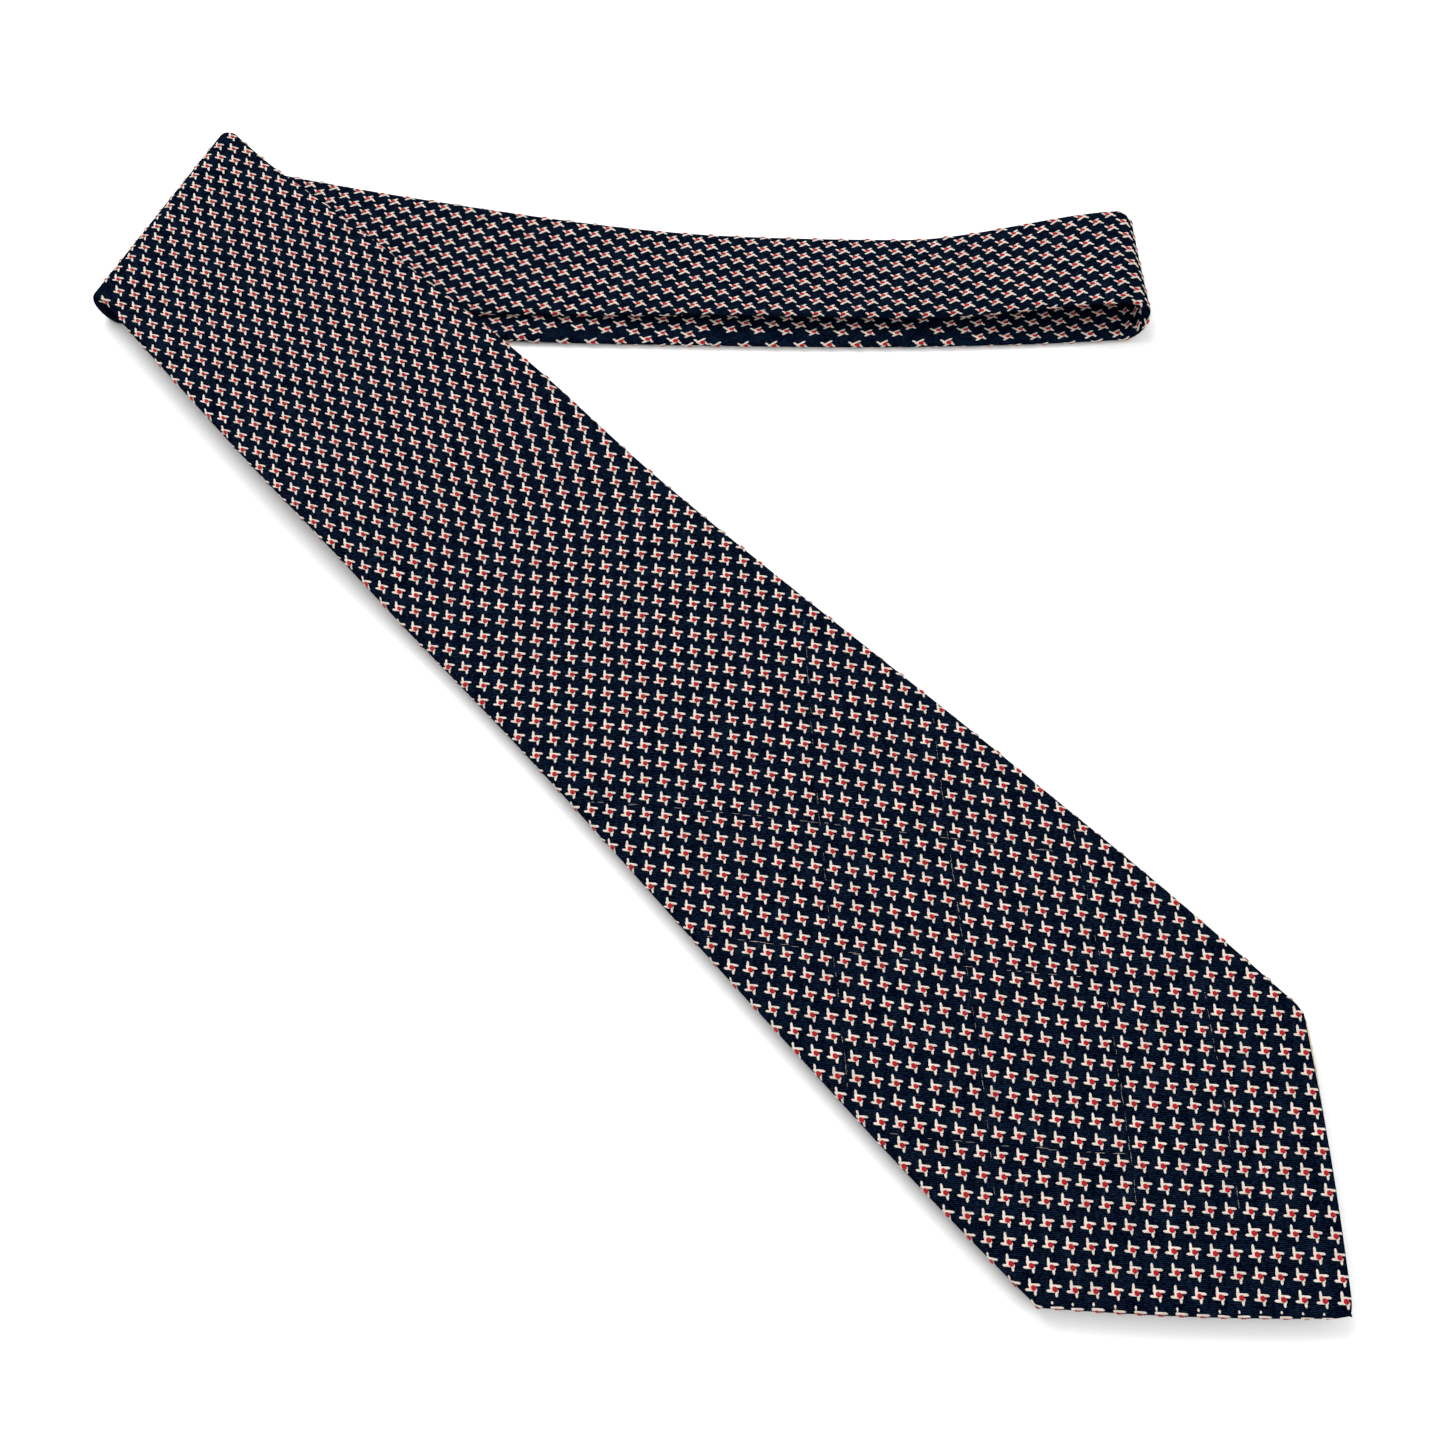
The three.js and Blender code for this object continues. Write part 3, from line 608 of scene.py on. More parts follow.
BLADE_END, TAIL_END = BLADE_REACH - 0.5, TAIL_REACH - 0.5
blade_round = closed_point(blade_half, BLADE_END)
tail_round = closed_point(tail_half, TAIL_END)
blade_flap = flap_edge(blade_half, BLADE_REACH, BLADE_TACK, BLADE_HEM)
tail_flap = flap_edge(tail_half, TAIL_REACH, TAIL_TACK, TAIL_HEM)


def closed_flap(along):
    return np.full(np.shape(along), 0.12)


def strip_grid(surface, half_at, flap_at, rows, slant_at, shift=0.0):
    """Points and UVs for rows, which are distances along. A row is tilted by slant_at(row): its points lie at
    along + (across + shift) * slant."""
    rows = np.asarray(rows, float)[:, None]
    w = strip_columns(half_at(rows[:, 0]), flap_at(rows[:, 0]))
    across = section(half_at(rows), w)[0]
    along = rows + (across + shift) * slant_at(rows)
    w = strip_columns_like(half_at(along), flap_at(along), w.shape[1])
    return surface(along, w), np.stack([w + 0 * along, along + 0 * w], -1)


def strip_columns_like(half, flap, columns):
    """The same columns where half and flap differ from point to point: column k of each point's own strip."""
    table = strip_columns(half, flap)
    return np.take_along_axis(table, np.arange(columns)[None, :, None], 2)[..., 0]


def sheet_facts(half_at, flap_at, low, high):
    """Works out the flat width of a strip at 400 places from low to high: the front, both rolled edges and
    both flaps. The result is not kept."""
    s = np.linspace(low, high, 400)
    half = half_at(s)
    radius = np.minimum(HALF, half * 0.98)
    width = 2 * (half - radius + np.pi * radius + np.maximum(half - radius - flap_at(s), 0))


# %% The surfaces of the sections
def near_fold(distance):
    """0 within 4 mm of the fold, 1 from 30 mm on: crown and ripple fade out towards the pressed fold."""
    return smooth(4, 30, distance)


def shell_surface(place, half_at, seed, fold_distance, crown=0.3, sink=0.0):
    """surface(along, w, rise) of a section, in metres. The front has a crown of parabolic shape and a slow
    ripple, both fading towards the fold; sink draws it in, so that what lies on the table isn't pushed into
    it. The back dips at the seam."""
    def surface(along, w, rise=0.0):
        along, w = np.broadcast_arrays(np.asarray(along, float), np.asarray(w, float))
        half = half_at(along)
        across, out, n_across, n_out = section(half, w)
        fade = near_fold(fold_distance(along, across))
        share = np.clip(np.abs(across) / np.maximum(half, 0.1), 0, 1)
        top = np.clip(n_out, 0, 1) * (crown * (1 - share**2) * np.clip(half / 20, 0, 1)
                                      + ripple(along, across, seed) - sink) * fade
        dip = 0.35 * np.exp(-(across / 1.4)**2)
        under = np.clip(-n_out, 0, 1) * (ripple(along, across, seed + 9) * fade - dip)
        lift = rise + top + under
        return place(along, across + n_across * lift, out + n_out * lift) * MM
    return surface


blade_surface = shell_surface(on_blade, blade_round, 3, lambda s, y: s - y * END_SLANT)
tail_surface = shell_surface(on_tail, tail_round, 5, lambda s, y: s - (y + TAIL_SHIFT) * END_SLANT, 0.15)
neck_surface = shell_surface(
    on_neck, neck_half, 7,
    lambda s, y: np.minimum(s - y * NECK_SLANT, NECK_LENGTH - s - (y + TAIL_SHIFT) * NECK_SLANT), 0.0, 0.42)

FOLD_OUTER = (Z_BLADE - Z_LOW) / 2 + HALF


def blade_front(along, w, rise=0.0):
    """The blade's right side, carried on round the fold: a point past the fold line goes round the roll,
    by its distance past the line over the roll's outer radius."""
    flat = along[..., None] * AHEAD + w[..., None] * ASIDE
    past, v = flat @ FOLD_OUT, flat @ FOLD_ALONG
    turn = np.clip(np.pi - past / FOLD_OUTER, 0, np.pi)
    across = v / mix(math.hypot(1, NECK_SLANT), math.hypot(1, END_SLANT), turn / np.pi)
    rolled = on_blade_fold(turn, across, HALF + rise + 0 * turn) * MM
    return np.where((past > 0)[..., None], rolled, blade_surface(along, w, rise))


# %% The level cloth of every panel
def rows_between(low, high, step):
    return np.linspace(low, high, max(2, int(round((high - low) / step)) + 1))


FOLD_STRIP = 6.0                 # level cloth on both sides of a fold that belongs to the fold's piece


def fading(slant, start, length=45.0):
    return lambda row: slant * (1 - smooth(0, length, row - start))


def end_rows(end):
    """Rows of a long end: even, then closer near the point, then closing its rounded end."""
    return np.r_[rows_between(FOLD_STRIP, end - 12, 2.6)[:-1], rows_between(end - 12, end - 2.4, 1.0),
                 end - np.array([2.0, 1.6, 1.2, 0.8, 0.45, 0.2, 0.06, 0.0])]


points, uv = strip_grid(blade_surface, blade_round, blade_flap, end_rows(BLADE_END), fading(END_SLANT, 0))
shell_blade = cloth("blade_cloth", points, uv, 0.4, flip=True)

points, uv = strip_grid(tail_surface, tail_round, tail_flap,
                        end_rows(TAIL_END), fading(END_SLANT, 0), TAIL_SHIFT)
shell_tail = cloth("tail_cloth", points, uv, 0.4)


def neck_strip(name, low, high, slant_low, slant_high, step=2.6):
    """A length of the neck whose first and last rows are tilted by slant_low and slant_high."""
    rows = rows_between(low, high, step)

    def tilt(row):
        return slant_low * (1 - smooth(0, 40, row - low)) + slant_high * (1 - smooth(0, 40, high - row))
    points, uv = strip_grid(neck_surface, neck_half, closed_flap, rows, tilt)
    return cloth(name, points, uv, 0.4)


SEAM_SLANT, SEAM_GAP = 1.0, 0.06
tail_seam = NECK_LENGTH - TAIL_SEAM
shell_blade_upper = neck_strip("blade_panel_end", FOLD_STRIP, BLADE_SEAM - SEAM_GAP, NECK_SLANT, SEAM_SLANT)
shell_neck = neck_strip(
    "neck_panel",
    BLADE_SEAM +
    SEAM_GAP,
    tail_seam -
    SEAM_GAP,
    SEAM_SLANT,
    SEAM_SLANT,
     step=1.6)
upper_rows = rows_between(tail_seam + SEAM_GAP, NECK_LENGTH - FOLD_STRIP, 1.6)
points, uv = strip_grid( neck_surface, neck_half, closed_flap, upper_rows, lambda row: mix(
    SEAM_SLANT, -NECK_SLANT, smooth(0, 1, (row - upper_rows[0]) / (upper_rows[-1] - upper_rows[0]))))
shell_tail_upper = cloth("tail_panel_start", points, uv, 0.4)


# %% The cloth of the two folds
def fold_cloth(name, roll, neck_at, end_surface, end_half, neck_side, shift, flip, thickness=0.4, inset=None):
    """A strip of the neck, the roll, and a strip of the end, as one grid. Rows are parallel to the fold."""
    rows = []
    uvs = []
    turns = (1 - np.cos(np.linspace(0, np.pi, 25))) / 2 * np.pi
    for kind, values in (("neck", np.linspace(FOLD_STRIP, 0, 5)[
                         :-1]), ("roll", turns), ("end", np.linspace(0, FOLD_STRIP, 5)[1:])):
        for value in values:
            t = {"neck": 0.0, "roll": value / np.pi, "end": 1.0}[kind]
            half = np.array([mix(neck_half(neck_at), end_half(0.0), t)])
            w = strip_columns(half, np.array([0.12]))[0]
            across, out, n_across, n_out = section(half[0], w)
            if kind == "neck":
                along = neck_side * value + neck_at + neck_side * (across + shift) * NECK_SLANT
                w = strip_columns_like(neck_half(along)[None], closed_flap(along)[None], len(w))[0]
                rows.append(neck_surface(along, w))
                uvs.append(np.stack([w, np.full(len(w), -value - 15.0)], -1))
            elif kind == "end":
                along = value + (across + shift) * END_SLANT
                w = strip_columns_like(end_half(along)[None], closed_flap(along)[None], len(w))[0]
                rows.append(end_surface(along, w))
                uvs.append(np.stack([w, value + 0 * w], -1))
            else:
                dip = 0.35 * np.exp(-(across / 1.4)**2) * np.clip(-n_out, 0, 1)
                rows.append(roll(np.full(len(w), value), across - n_across * dip, out - n_out * dip) * MM)
                uvs.append(np.stack([w, np.full(len(w), (value / np.pi - 1) * 15.0)], -1))
    return cloth(name, np.array(rows), np.array(uvs), thickness, flip)


blade_fold = fold_cloth("blade_fold_cloth", on_blade_fold, 0.0, blade_surface, blade_round, 1, 0.0, True)
tail_fold = fold_cloth("tail_fold_cloth", on_tail_fold, NECK_LENGTH,
                       tail_surface, tail_round, -1, TAIL_SHIFT, False)


def fold_lining(name, roll, half, neck_at, neck_side, end_place, shift, flip):
    """The interlining in a fold: a flat strip 0.7 mm thick on the same roll, carried 4 mm on to both sides."""
    turn, y = np.meshgrid(np.linspace(0.05, np.pi - 0.05, 17),
                          np.linspace(-half + 1.5, half - 1.5, 9), indexing="ij")
    level = np.linspace(4, 0, 4)[:, None] + 0 * y[:4]
    out = np.full(y.shape, INTERLINING / 2)
    tilt = (y[:4] + shift) * NECK_SLANT
    points = np.concatenate([on_neck(neck_at + neck_side * (level + tilt), y[:4], out[:4]), roll(turn, y, out),
                             end_place(level[::-1] + (y[:4] + shift) * END_SLANT, y[:4], out[:4])]) * MM
    rows = np.concatenate([-level, turn * 5, 15 + level[::-1]])
    return cloth(name, points, np.stack([np.broadcast_to(y[:1], rows.shape), rows], -1), INTERLINING, flip)


blade_fold_lining = fold_lining("blade_fold_interlining", on_blade_fold,
                                BLADE_FOLD / 2, 0.0, 1, on_blade, 0.0, True)
tail_fold_lining = fold_lining("tail_fold_interlining", on_tail_fold, TAIL_FOLD / 2, NECK_LENGTH, -1, on_tail,
                               TAIL_SHIFT, False)
for piece in (shell_blade, shell_tail, shell_blade_upper, shell_neck, shell_tail_upper, blade_fold, tail_fold):
    piece.data.materials.append(navy)
for piece in (blade_fold_lining, tail_fold_lining):
    piece.data.materials.append(wool)

# %% [markdown]
# ## Weaving the figure into every panel
# The front of a panel and its turned-in flaps are woven separately. A flap is the same cloth seen after it
# has turned the edge, so its pattern is laid out on the level back, mirrored, and its windmills still turn
# the same way when one looks at the right side of the silk.

# %% Figures of the front and the back
BLADE_ANGLES = [(0, 31.5), (110, 33.0), (175, 42.0), (300, 39.2), (375, 43.0), (424, 44.0)]
blade_lattice = Lattice(BLADE_ANGLES, BLADE_REACH,
                        centre=-18.0, drift=-0.015, phase_a=0.0, phase_b=0.0)


def set_point_rows(lattice, half_at, near_share, far_share, reach, depth):
    """Rows lie near_share of a pitch inside the near edge of the point, and far_share inside the far one."""
    s = reach - 0.45 * depth
    half = float(half_at(np.array(s)))
    a = lattice.counts(np.array(s), np.array(-half))[0]
    b = lattice.counts(np.array(s), np.array(half))[1]
    lattice.phase = (lattice.phase[0] - near_share - float(a) % 1, lattice.phase[1] + far_share - float(b) % 1)


set_point_rows(blade_lattice, blade_half, 0.93, 0.5, BLADE_REACH, POINT_DEPTH)


fronts = {}                      # where the front windmills of each surface are, on flat cloth


def front_figures(name, surface, lattice, half_at, low, high, seed, mirror, inside=None, limit=0.8):
    s, w, theta = lattice.places(low, high, 70)
    half = half_at(s)
    radius = np.minimum(HALF, half * 0.98)
    keep = np.abs(w) <= half - radius + limit * np.pi * radius
    keep &= half > 1.6
    if inside is not None:
        keep &= inside(s, w)
    fronts[surface] = fronts.get(surface, []) + [np.stack([s[keep], w[keep]], 1)]
    return windmills(name, surface, s[keep], w[keep], theta[keep], seed, mirror)


def back_figures(name, surface, lattice, half_at, flap_at, low, high, seed, mirror, inside=None):
    """Windmills on the two flaps: laid out at (s, y) on the level back, then carried to flat cloth as
    w = side * (2 flat + pi radius) - y, side being the flap's side. On the rolled edge they keep three
    quarters of a pitch away from the windmills of the front."""
    s, y, theta = lattice.places(low, high, 70)
    half = half_at(s)
    flap = flap_at(s)
    margin = np.where(flap > 1, 0.44, 0.26) * PITCH
    keep = (np.abs(y) <= half - HALF + 0.3 * PITCH) & (np.abs(y) >= flap + margin)
    flat_w = np.sign(y) * (2 * (half - HALF) + np.pi * HALF) - y
    front = np.concatenate(fronts[surface])
    for start in range(0, len(s), 500):
        part = slice(start, start + 500)
        away = np.hypot(s[part, None] - front[:, 0], flat_w[part, None] - front[:, 1]).min(1)
        keep[part] &= away > 0.75 * PITCH
    if inside is not None:
        keep &= inside(s, y)
    s, y, theta = s[keep], y[keep], theta[keep]
    side = np.where(y > 0, 1.0, -1.0)[:, None]

    def back(at_s, at_y, rise):
        level = half_at(at_s)
        radius = np.minimum(HALF, level * 0.98)
        return surface(at_s, side * (2 * (level - radius) + np.pi * radius) - at_y, rise)
    return windmills(name, back, s, y, theta, seed, not mirror)


def fold_side(s, y):
    return -(s * (AHEAD @ FOLD_OUT) + y * (ASIDE @ FOLD_OUT))


def on_level_fold(s, w):
    """True where a whole windmill lies between the rolled edges of the blade's fold."""
    flat = s[:, None] * AHEAD + w[:, None] * ASIDE
    turn = np.clip(np.pi - flat @ FOLD_OUT / FOLD_OUTER, 0, np.pi)
    across = flat @ FOLD_ALONG / mix(math.hypot(1, NECK_SLANT), math.hypot(1, END_SLANT), turn / np.pi)
    return np.abs(across) < BLADE_FOLD / 2 - HALF - 0.45 * PITCH


figures = {}
figures["blade_front"] = front_figures(
    "blade_figures", blade_front, blade_lattice, blade_round, -30, BLADE_END - 1.5, 11, False,
    lambda s, w: fold_side(s, w) >= 0)
figures["blade_fold"] = front_figures(
    "blade_fold_figures", blade_front, blade_lattice, blade_round, -60, 40, 12, False,
    lambda s, w: (fold_side(s, w) < 0) & (fold_side(s, w) > 1.0 - np.pi * FOLD_OUTER) & on_level_fold(s, w),
    limit=0.8)
back_lattice = Lattice(BLADE_ANGLES, BLADE_REACH,
                       phase_a=0.3, phase_b=0.6)
fronts[blade_surface] = fronts[blade_front]
figures["blade_back"] = back_figures(
    "blade_flap_figures", blade_surface, back_lattice, blade_round, blade_flap, -20, BLADE_END - 3, 13, False,
    lambda s, y: s - y * END_SLANT > 1.5)



def neck_figures(name, low, high, seed, phase, slant_low, slant_high):
    """Front and flaps of one stretch of the neck between two tilted ends."""
    lattice = Lattice([(0, 31.5), (300, 32.0), (NECK_LENGTH, 33.0)],
                      NECK_LENGTH, phase_a=phase, phase_b=1 - phase)

    def inside(s, w):
        return (s - w * slant_low > low) & (s - w * slant_high < high)
    edge = 40
    front = front_figures(
    name + "_figures",
    neck_surface,
    lattice,
    neck_half,
    low - edge,
    high + edge,
    seed,
    True,
     inside)
    lattice.phase = (phase + 0.3, phase + 0.1)
    back = back_figures(
    name + "_flap_figures",
    neck_surface,
    lattice,
    neck_half,
    closed_flap,
    low - edge,
    high + edge,
    seed + 1,
    True,
     inside)
    return front, back


CUT = 1.2
figures["upper_front"], figures["upper_back"] = neck_figures(
    "blade_panel_end", 0.5, BLADE_SEAM - CUT, 21, 0.15, NECK_SLANT, SEAM_SLANT)
figures["neck_front"], figures["neck_back"] = neck_figures(
    "neck_panel", BLADE_SEAM + CUT, tail_seam - CUT, 23, 0.45, SEAM_SLANT, SEAM_SLANT)
figures["start_front"], figures["start_back"] = neck_figures(
    "tail_panel_start", tail_seam + CUT, NECK_LENGTH - 1.5 - TAIL_SHIFT * NECK_SLANT, 25, 0.7, SEAM_SLANT, -NECK_SLANT)
tail_lattice = Lattice([(0, 33.0), (200, 40.0), (400, 44.0)], TAIL_REACH, phase_a=0.2, phase_b=0.7)
set_point_rows(tail_lattice, tail_half, 0.7, 0.6, TAIL_REACH, TAIL_WIDTH / 2)
figures["tail_front"] = front_figures(
    "tail_figures", tail_surface, tail_lattice, tail_round, -20, TAIL_END - 1.5, 31, True,
    lambda s, w: s - (w + TAIL_SHIFT) * END_SLANT > 1.5)
figures["tail_back"] = back_figures(
    "tail_flap_figures", tail_surface, tail_lattice, tail_round, tail_flap, -20, TAIL_END - 3, 32, True,
    lambda s, y: s - (y + TAIL_SHIFT) * END_SLANT > 1.5)
print("windmills:", {k: len(v.data.vertices) // len(WINDMILL) for k, v in figures.items() if v})

# %% [markdown]
# Here and there a pale yarn of a figure shows through between two windmills. These pulled yarns lie on a few
# thread lines of the blade.


# %% Pulled yarns
def pulled_yarns(name, surface, lattice, lines, count, seed):
    """Short slivers 0.23 mm wide along one thread: on line k the count (a or b) is constant, and the sliver is
    a ribbon of 2 x 4 points, highest in its middle."""
    rng = np.random.default_rng(seed)
    vertices, faces, uv = [], [], []
    for family, line in lines:
        for _ in range(count):
            other, length = rng.uniform(-60, 60), rng.uniform(0.15, 0.5)
            line_at = line + rng.normal(0, 0.02)
            step = np.linspace(0, length, 4)
            a, b = (line_at + 0 * step, other + step) if family == "a" else (other + step, line_at + 0 * step)
            tau = (b - lattice.phase[1] - a + lattice.phase[0]) / 2
            s = np.interp(tau, lattice.tau, lattice.s, left=-1e6, right=1e6)
            w = lattice.middle(s) + (a - lattice.phase[0] + b - lattice.phase[1]) / 2 * np.interp(
                s, lattice.s, lattice.c)
            if s.min() < 130 or s.max() > BLADE_END - 6 or np.any(np.abs(w) > blade_round(s) - 3):
                continue
            side = np.array([[-1.0], [1.0]])
            s, w = s + 0.08 * side, w + 0.08 * side * (1 if family == "a" else -1)
            rise = np.broadcast_to(0.05 + 0.05 * np.sin(np.linspace(0, np.pi, 4)), s.shape)
            start = sum(len(v) for v in vertices)
            vertices.append(surface(s, w, rise).reshape(-1, 3))
            faces.append(grid_faces(2, 4, family == "b", start))
            uv.append(np.stack([w, s], -1).reshape(-1, 2))
    thing = finish_mesh(name, np.concatenate(vertices), np.concatenate(faces), np.concatenate(uv))
    thing.modifiers.new("body", "SOLIDIFY").thickness = 0.05 * MM
    thing.data.materials.append(cream)
    return thing


centre_a, centre_b = (float(c) for c in blade_lattice.counts(np.array(330.0), np.array(0.0)))
pulled = pulled_yarns("pulled_yarns", blade_surface, blade_lattice,
                      [("a", round(centre_a) + k + 0.5) for k in (-7, 2, 9)]
                      + [("b", round(centre_b) + k + 0.5) for k in (-11, -4, 3, 8)], 150, 61)
print("pulled yarns:", len(pulled.data.vertices) // 8)

# %% [markdown]
# ## Linings, stitches and what is sewn to the back
# The tips are lined with plain navy cloth, seen in the open V of the back. The flaps are joined by a slip
# stitch and closed by a bar tack. A keeper of the same silk holds the tail, with a blank label above it and
# a small blank care tag below it.


# %% Tipping
def tipping(name, place, half_at, low, end, seed, flip):
    """The lining of a point: a level sheet 1.5 mm inside the edges, sagging a little between its hems."""
    s, v = np.meshgrid(np.linspace(low, end, 60), np.linspace(-1, 1, 25), indexing="ij")
    y = v * np.maximum(half_at(s) - 1.6, 0.3)
    sag = 0.06 + 0.06 * np.cos(v * np.pi) + ripple(s, y, seed)
    return cloth(name, place(s, y, -0.58 - 0.12 * sag) * MM, np.stack([y, s], -1), 0.2, flip)


blade_tipping = tipping(
    "blade_tipping",
    on_blade,
    blade_half,
    BLADE_REACH -
    BLADE_TACK,
    BLADE_REACH -
    5.5,
    41,
     False)
tail_tipping = tipping("tail_tipping", on_tail, tail_half, TAIL_REACH - TAIL_TACK, TAIL_REACH - 5.5, 42, True)
for piece in (blade_tipping, tail_tipping):
    piece.data.materials.append(lining)


# %% Stitches
def stitch_run(name, place, starts, length=3.2, thickness=0.42, gap=0.9):
    """Short slanting stitches across the back seam: each is a half tube of 8 x 6 quads that dives into the
    cloth at both ends. Its middle line is a parabola, highest half way."""
    t, a = np.meshgrid(np.linspace(-1, 1, 7), np.linspace(0, 2 * np.pi, 7)[:-1], indexing="ij")
    thick = thickness / 2 * (1 - 0.5 * np.abs(t) ** 3)
    s = starts[:, None, None] + t * length / 2
    y = (t * gap / 2)[None] + (thick * np.cos(a))[None]
    out = -HALF - 0.02 + (0.16 * t * t - thick * np.sin(a) * 0.7)[None] + 0 * s
    points = place(s, y + 0 * s, out) * MM
    ring = grid_faces(7, 6)
    wrap = np.array([[r * 6 + 5, r * 6, (r + 1) * 6, (r + 1) * 6 + 5] for r in range(6)])
    faces = np.concatenate([ring, wrap])
    every = (faces[None] + np.arange(len(starts))[:, None, None] * 42).reshape(-1, 4)
    uv = np.stack([t.ravel() * 2, a.ravel()], -1)
    uv = np.tile(uv, (len(starts), 1))
    thing = finish_mesh(name, points.reshape(-1, 3), every, uv)
    thing.data.materials.append(thread)
    return thing


stitches_blade = stitch_run("blade_slip_stitch", on_blade, np.arange(5.0, BLADE_REACH - BLADE_TACK - 4, 7.0))
stitches_tail = stitch_run("tail_slip_stitch", on_tail, np.arange(5.0, TAIL_REACH - TAIL_TACK - 4, 7.0))
stitches_neck = stitch_run("neck_slip_stitch", on_neck, np.arange(6.0, NECK_LENGTH - 6, 7.0))


def satin_bar(name, place, along, across, wide, long, top, height, turns):
    """A bar of close stitches: an oblong mound whose surface is ribbed by |sin|, one rib for each turn of
    the thread. wide is across the tie, long along it; ribs run along the shorter way."""
    many, few = (wide, long) if wide >= long else (long, wide)
    u, v = np.meshgrid(np.linspace(-1, 1, turns * 6 + 1), np.linspace(-1, 1, 9), indexing="ij")
    rise = (1 - np.abs(v)**3) * (1 - np.abs(u)**14) * height * \
            (0.72 + 0.28 * np.abs(np.sin(u * turns * np.pi / 2)))
    x, y = u * many / 2, v * few / 2
    s, t = (y, x) if wide >= long else (x, y)
    points = place(along + s, across + t, top - rise) * MM
    uv = np.stack([x, y], -1)
    thing = finish_mesh(name, points.reshape(-1, 3), grid_faces(*u.shape), uv.reshape(-1, 2))
    thing.modifiers.new("body", "SOLIDIFY").thickness = 0.15 * MM
    thing.data.materials.append(thread)
    return thing


LABEL_AT, TAG_AT = BLADE_REACH - 250, BLADE_REACH - 184
LABEL_WIDTH, LABEL_LENGTH, TAG_WIDTH, TAG_LENGTH = 46.0, 22.0, 13.0, 24.0
under_label = -HALF - 0.1 - 0.35
tacks = {
    "bar_tack_blade": satin_bar("blade_bar_tack", on_blade, BLADE_REACH - BLADE_TACK, 0, 9, 1.6, -HALF, 0.5, 15),
    "bar_tack_tail": satin_bar("tail_bar_tack", on_tail, TAIL_REACH - TAIL_TACK, 0, 9, 1.6, -HALF, 0.5, 15),
    "label_tack_near": satin_bar("label_tack_near_side", on_blade, LABEL_AT, 1.5 - LABEL_WIDTH / 2, 1.2, 3, under_label, 0.35, 6),
    "label_tack_far": satin_bar("label_tack_far_side", on_blade, LABEL_AT, LABEL_WIDTH / 2 - 1.5, 1.2, 3, under_label, 0.35, 6),
    "care_tag_tack": satin_bar("tag_tack", on_blade, TAG_AT - TAG_LENGTH / 2 + 2.5, 0, 3, 1.2, under_label, 0.35, 6),
}
KEEPER_INNER = float(tail_taper(KEEPER_AT)) + 0.5
KEEPER_TAB = 7.0
for side, sign in (("near", -1), ("far", 1)):
    tacks[f"keeper_tack_{side}"] = satin_bar(
        f"keeper_tack_{side}_side", on_blade, KEEPER_AT, sign * (KEEPER_INNER + 0.6 + KEEPER_TAB / 2), 1.2, 3,
        -HALF - 0.75, 0.35, 6)


# %% Keeper
def keeper_path():
    """The strip's middle line as (across, out): tab, turn down, level under the tail, turn up, tab. Its corners
    are rounded by averaging the line over 41 of its 1200 steps."""
    tab, floor, wall = -HALF - 0.42, -5.7, KEEPER_INNER + 0.3
    corners = np.array([[-wall - KEEPER_TAB, tab], [-wall, tab], [-wall, floor], [wall, floor], [wall, tab],
                        [wall + KEEPER_TAB, tab]])
    step = np.r_[0, np.cumsum(np.hypot(*np.diff(corners, axis=0).T))]
    t = np.linspace(0, step[-1], 1200)
    line = np.stack([np.interp(t, step, corners[:, k]) for k in (0, 1)], 1)
    window = np.hanning(41) / np.hanning(41).sum()
    padded = np.pad(line, ((20, 20), (0, 0)), mode="edge")
    line = np.stack([np.convolve(padded[:, k], window, "valid") for k in (0, 1)], 1)
    length = np.r_[0, np.cumsum(np.hypot(*np.diff(line, axis=0).T))]
    return length, line


keeper_length, keeper_line = keeper_path()


def keeper_surface(s, t, rise=0.0):
    """Point of the keeper at (along the tie, along the strip), on its outer side."""
    y, out = (np.interp(t, keeper_length, keeper_line[:, k]) for k in (0, 1))
    dy, do = (np.gradient(keeper_line[:, k], keeper_length) for k in (0, 1))
    ny, no = np.interp(t, keeper_length, do), -np.interp(t, keeper_length, dy)
    size = np.hypot(ny, no)
    lift = rise + 0.22
    return on_blade(s + 0 * y, y + ny / size * lift, out + no / size * lift) * MM


s, t = np.meshgrid(KEEPER_AT + np.linspace(-7, 7, 15), np.linspace(0, keeper_length[-1], 150), indexing="ij")
hem = 0.12 * smooth(5.2, 7.0, np.abs(s - KEEPER_AT))
keeper = cloth("keeper_band", keeper_surface(s, t, -hem), np.stack([t, s], -1), 0.5)
keeper.data.materials.append(navy)
keeper_lattice = Lattice([(-60, 45), (60, 45)], 60, phase_a=0.5, phase_b=0.5)
ks, kt, ktheta = keeper_lattice.places(-5.2, 5.2, keeper_length[-1] / 2 - 2.5)
keeper_figures = windmills("keeper_figures", lambda a, b, rise: keeper_surface(
    KEEPER_AT + a, keeper_length[-1] / 2 + b, rise * 0.4), ks, kt, ktheta, 51, True)


# %% Label and care tag
def woven_patch(name, along, wide, long, material, hems=True):
    """A flat tape sewn to the blade's back, a little thicker where its ends are turned in."""
    y, s = np.meshgrid(np.linspace(-wide / 2, wide / 2, 47),
                       np.linspace(-long / 2, long / 2, 25), indexing="ij")
    rise = 0.12 * smooth(wide / 2 - 3.2, wide / 2 - 2.8, np.abs(y)) if hems else 0.10 * \
                         smooth(long / 2 - 4, long / 2 - 3.6, -s)
    lift = 0.06 * np.sin(s / 5.0 + 1) * np.sin(y / 7.0)
    points = on_blade(along + s, y, -HALF - 0.34 - rise * 0.5 + lift * 0.5) * MM
    thing = cloth(name, points, np.stack([y, s], -1), 0.22)
    thing.data.materials.append(material)
    return thing


label = woven_patch("blank_label", LABEL_AT, LABEL_WIDTH, LABEL_LENGTH, satin)
care_tag = woven_patch("blank_care_tag", TAG_AT, TAG_WIDTH, TAG_LENGTH, tape, hems=False)
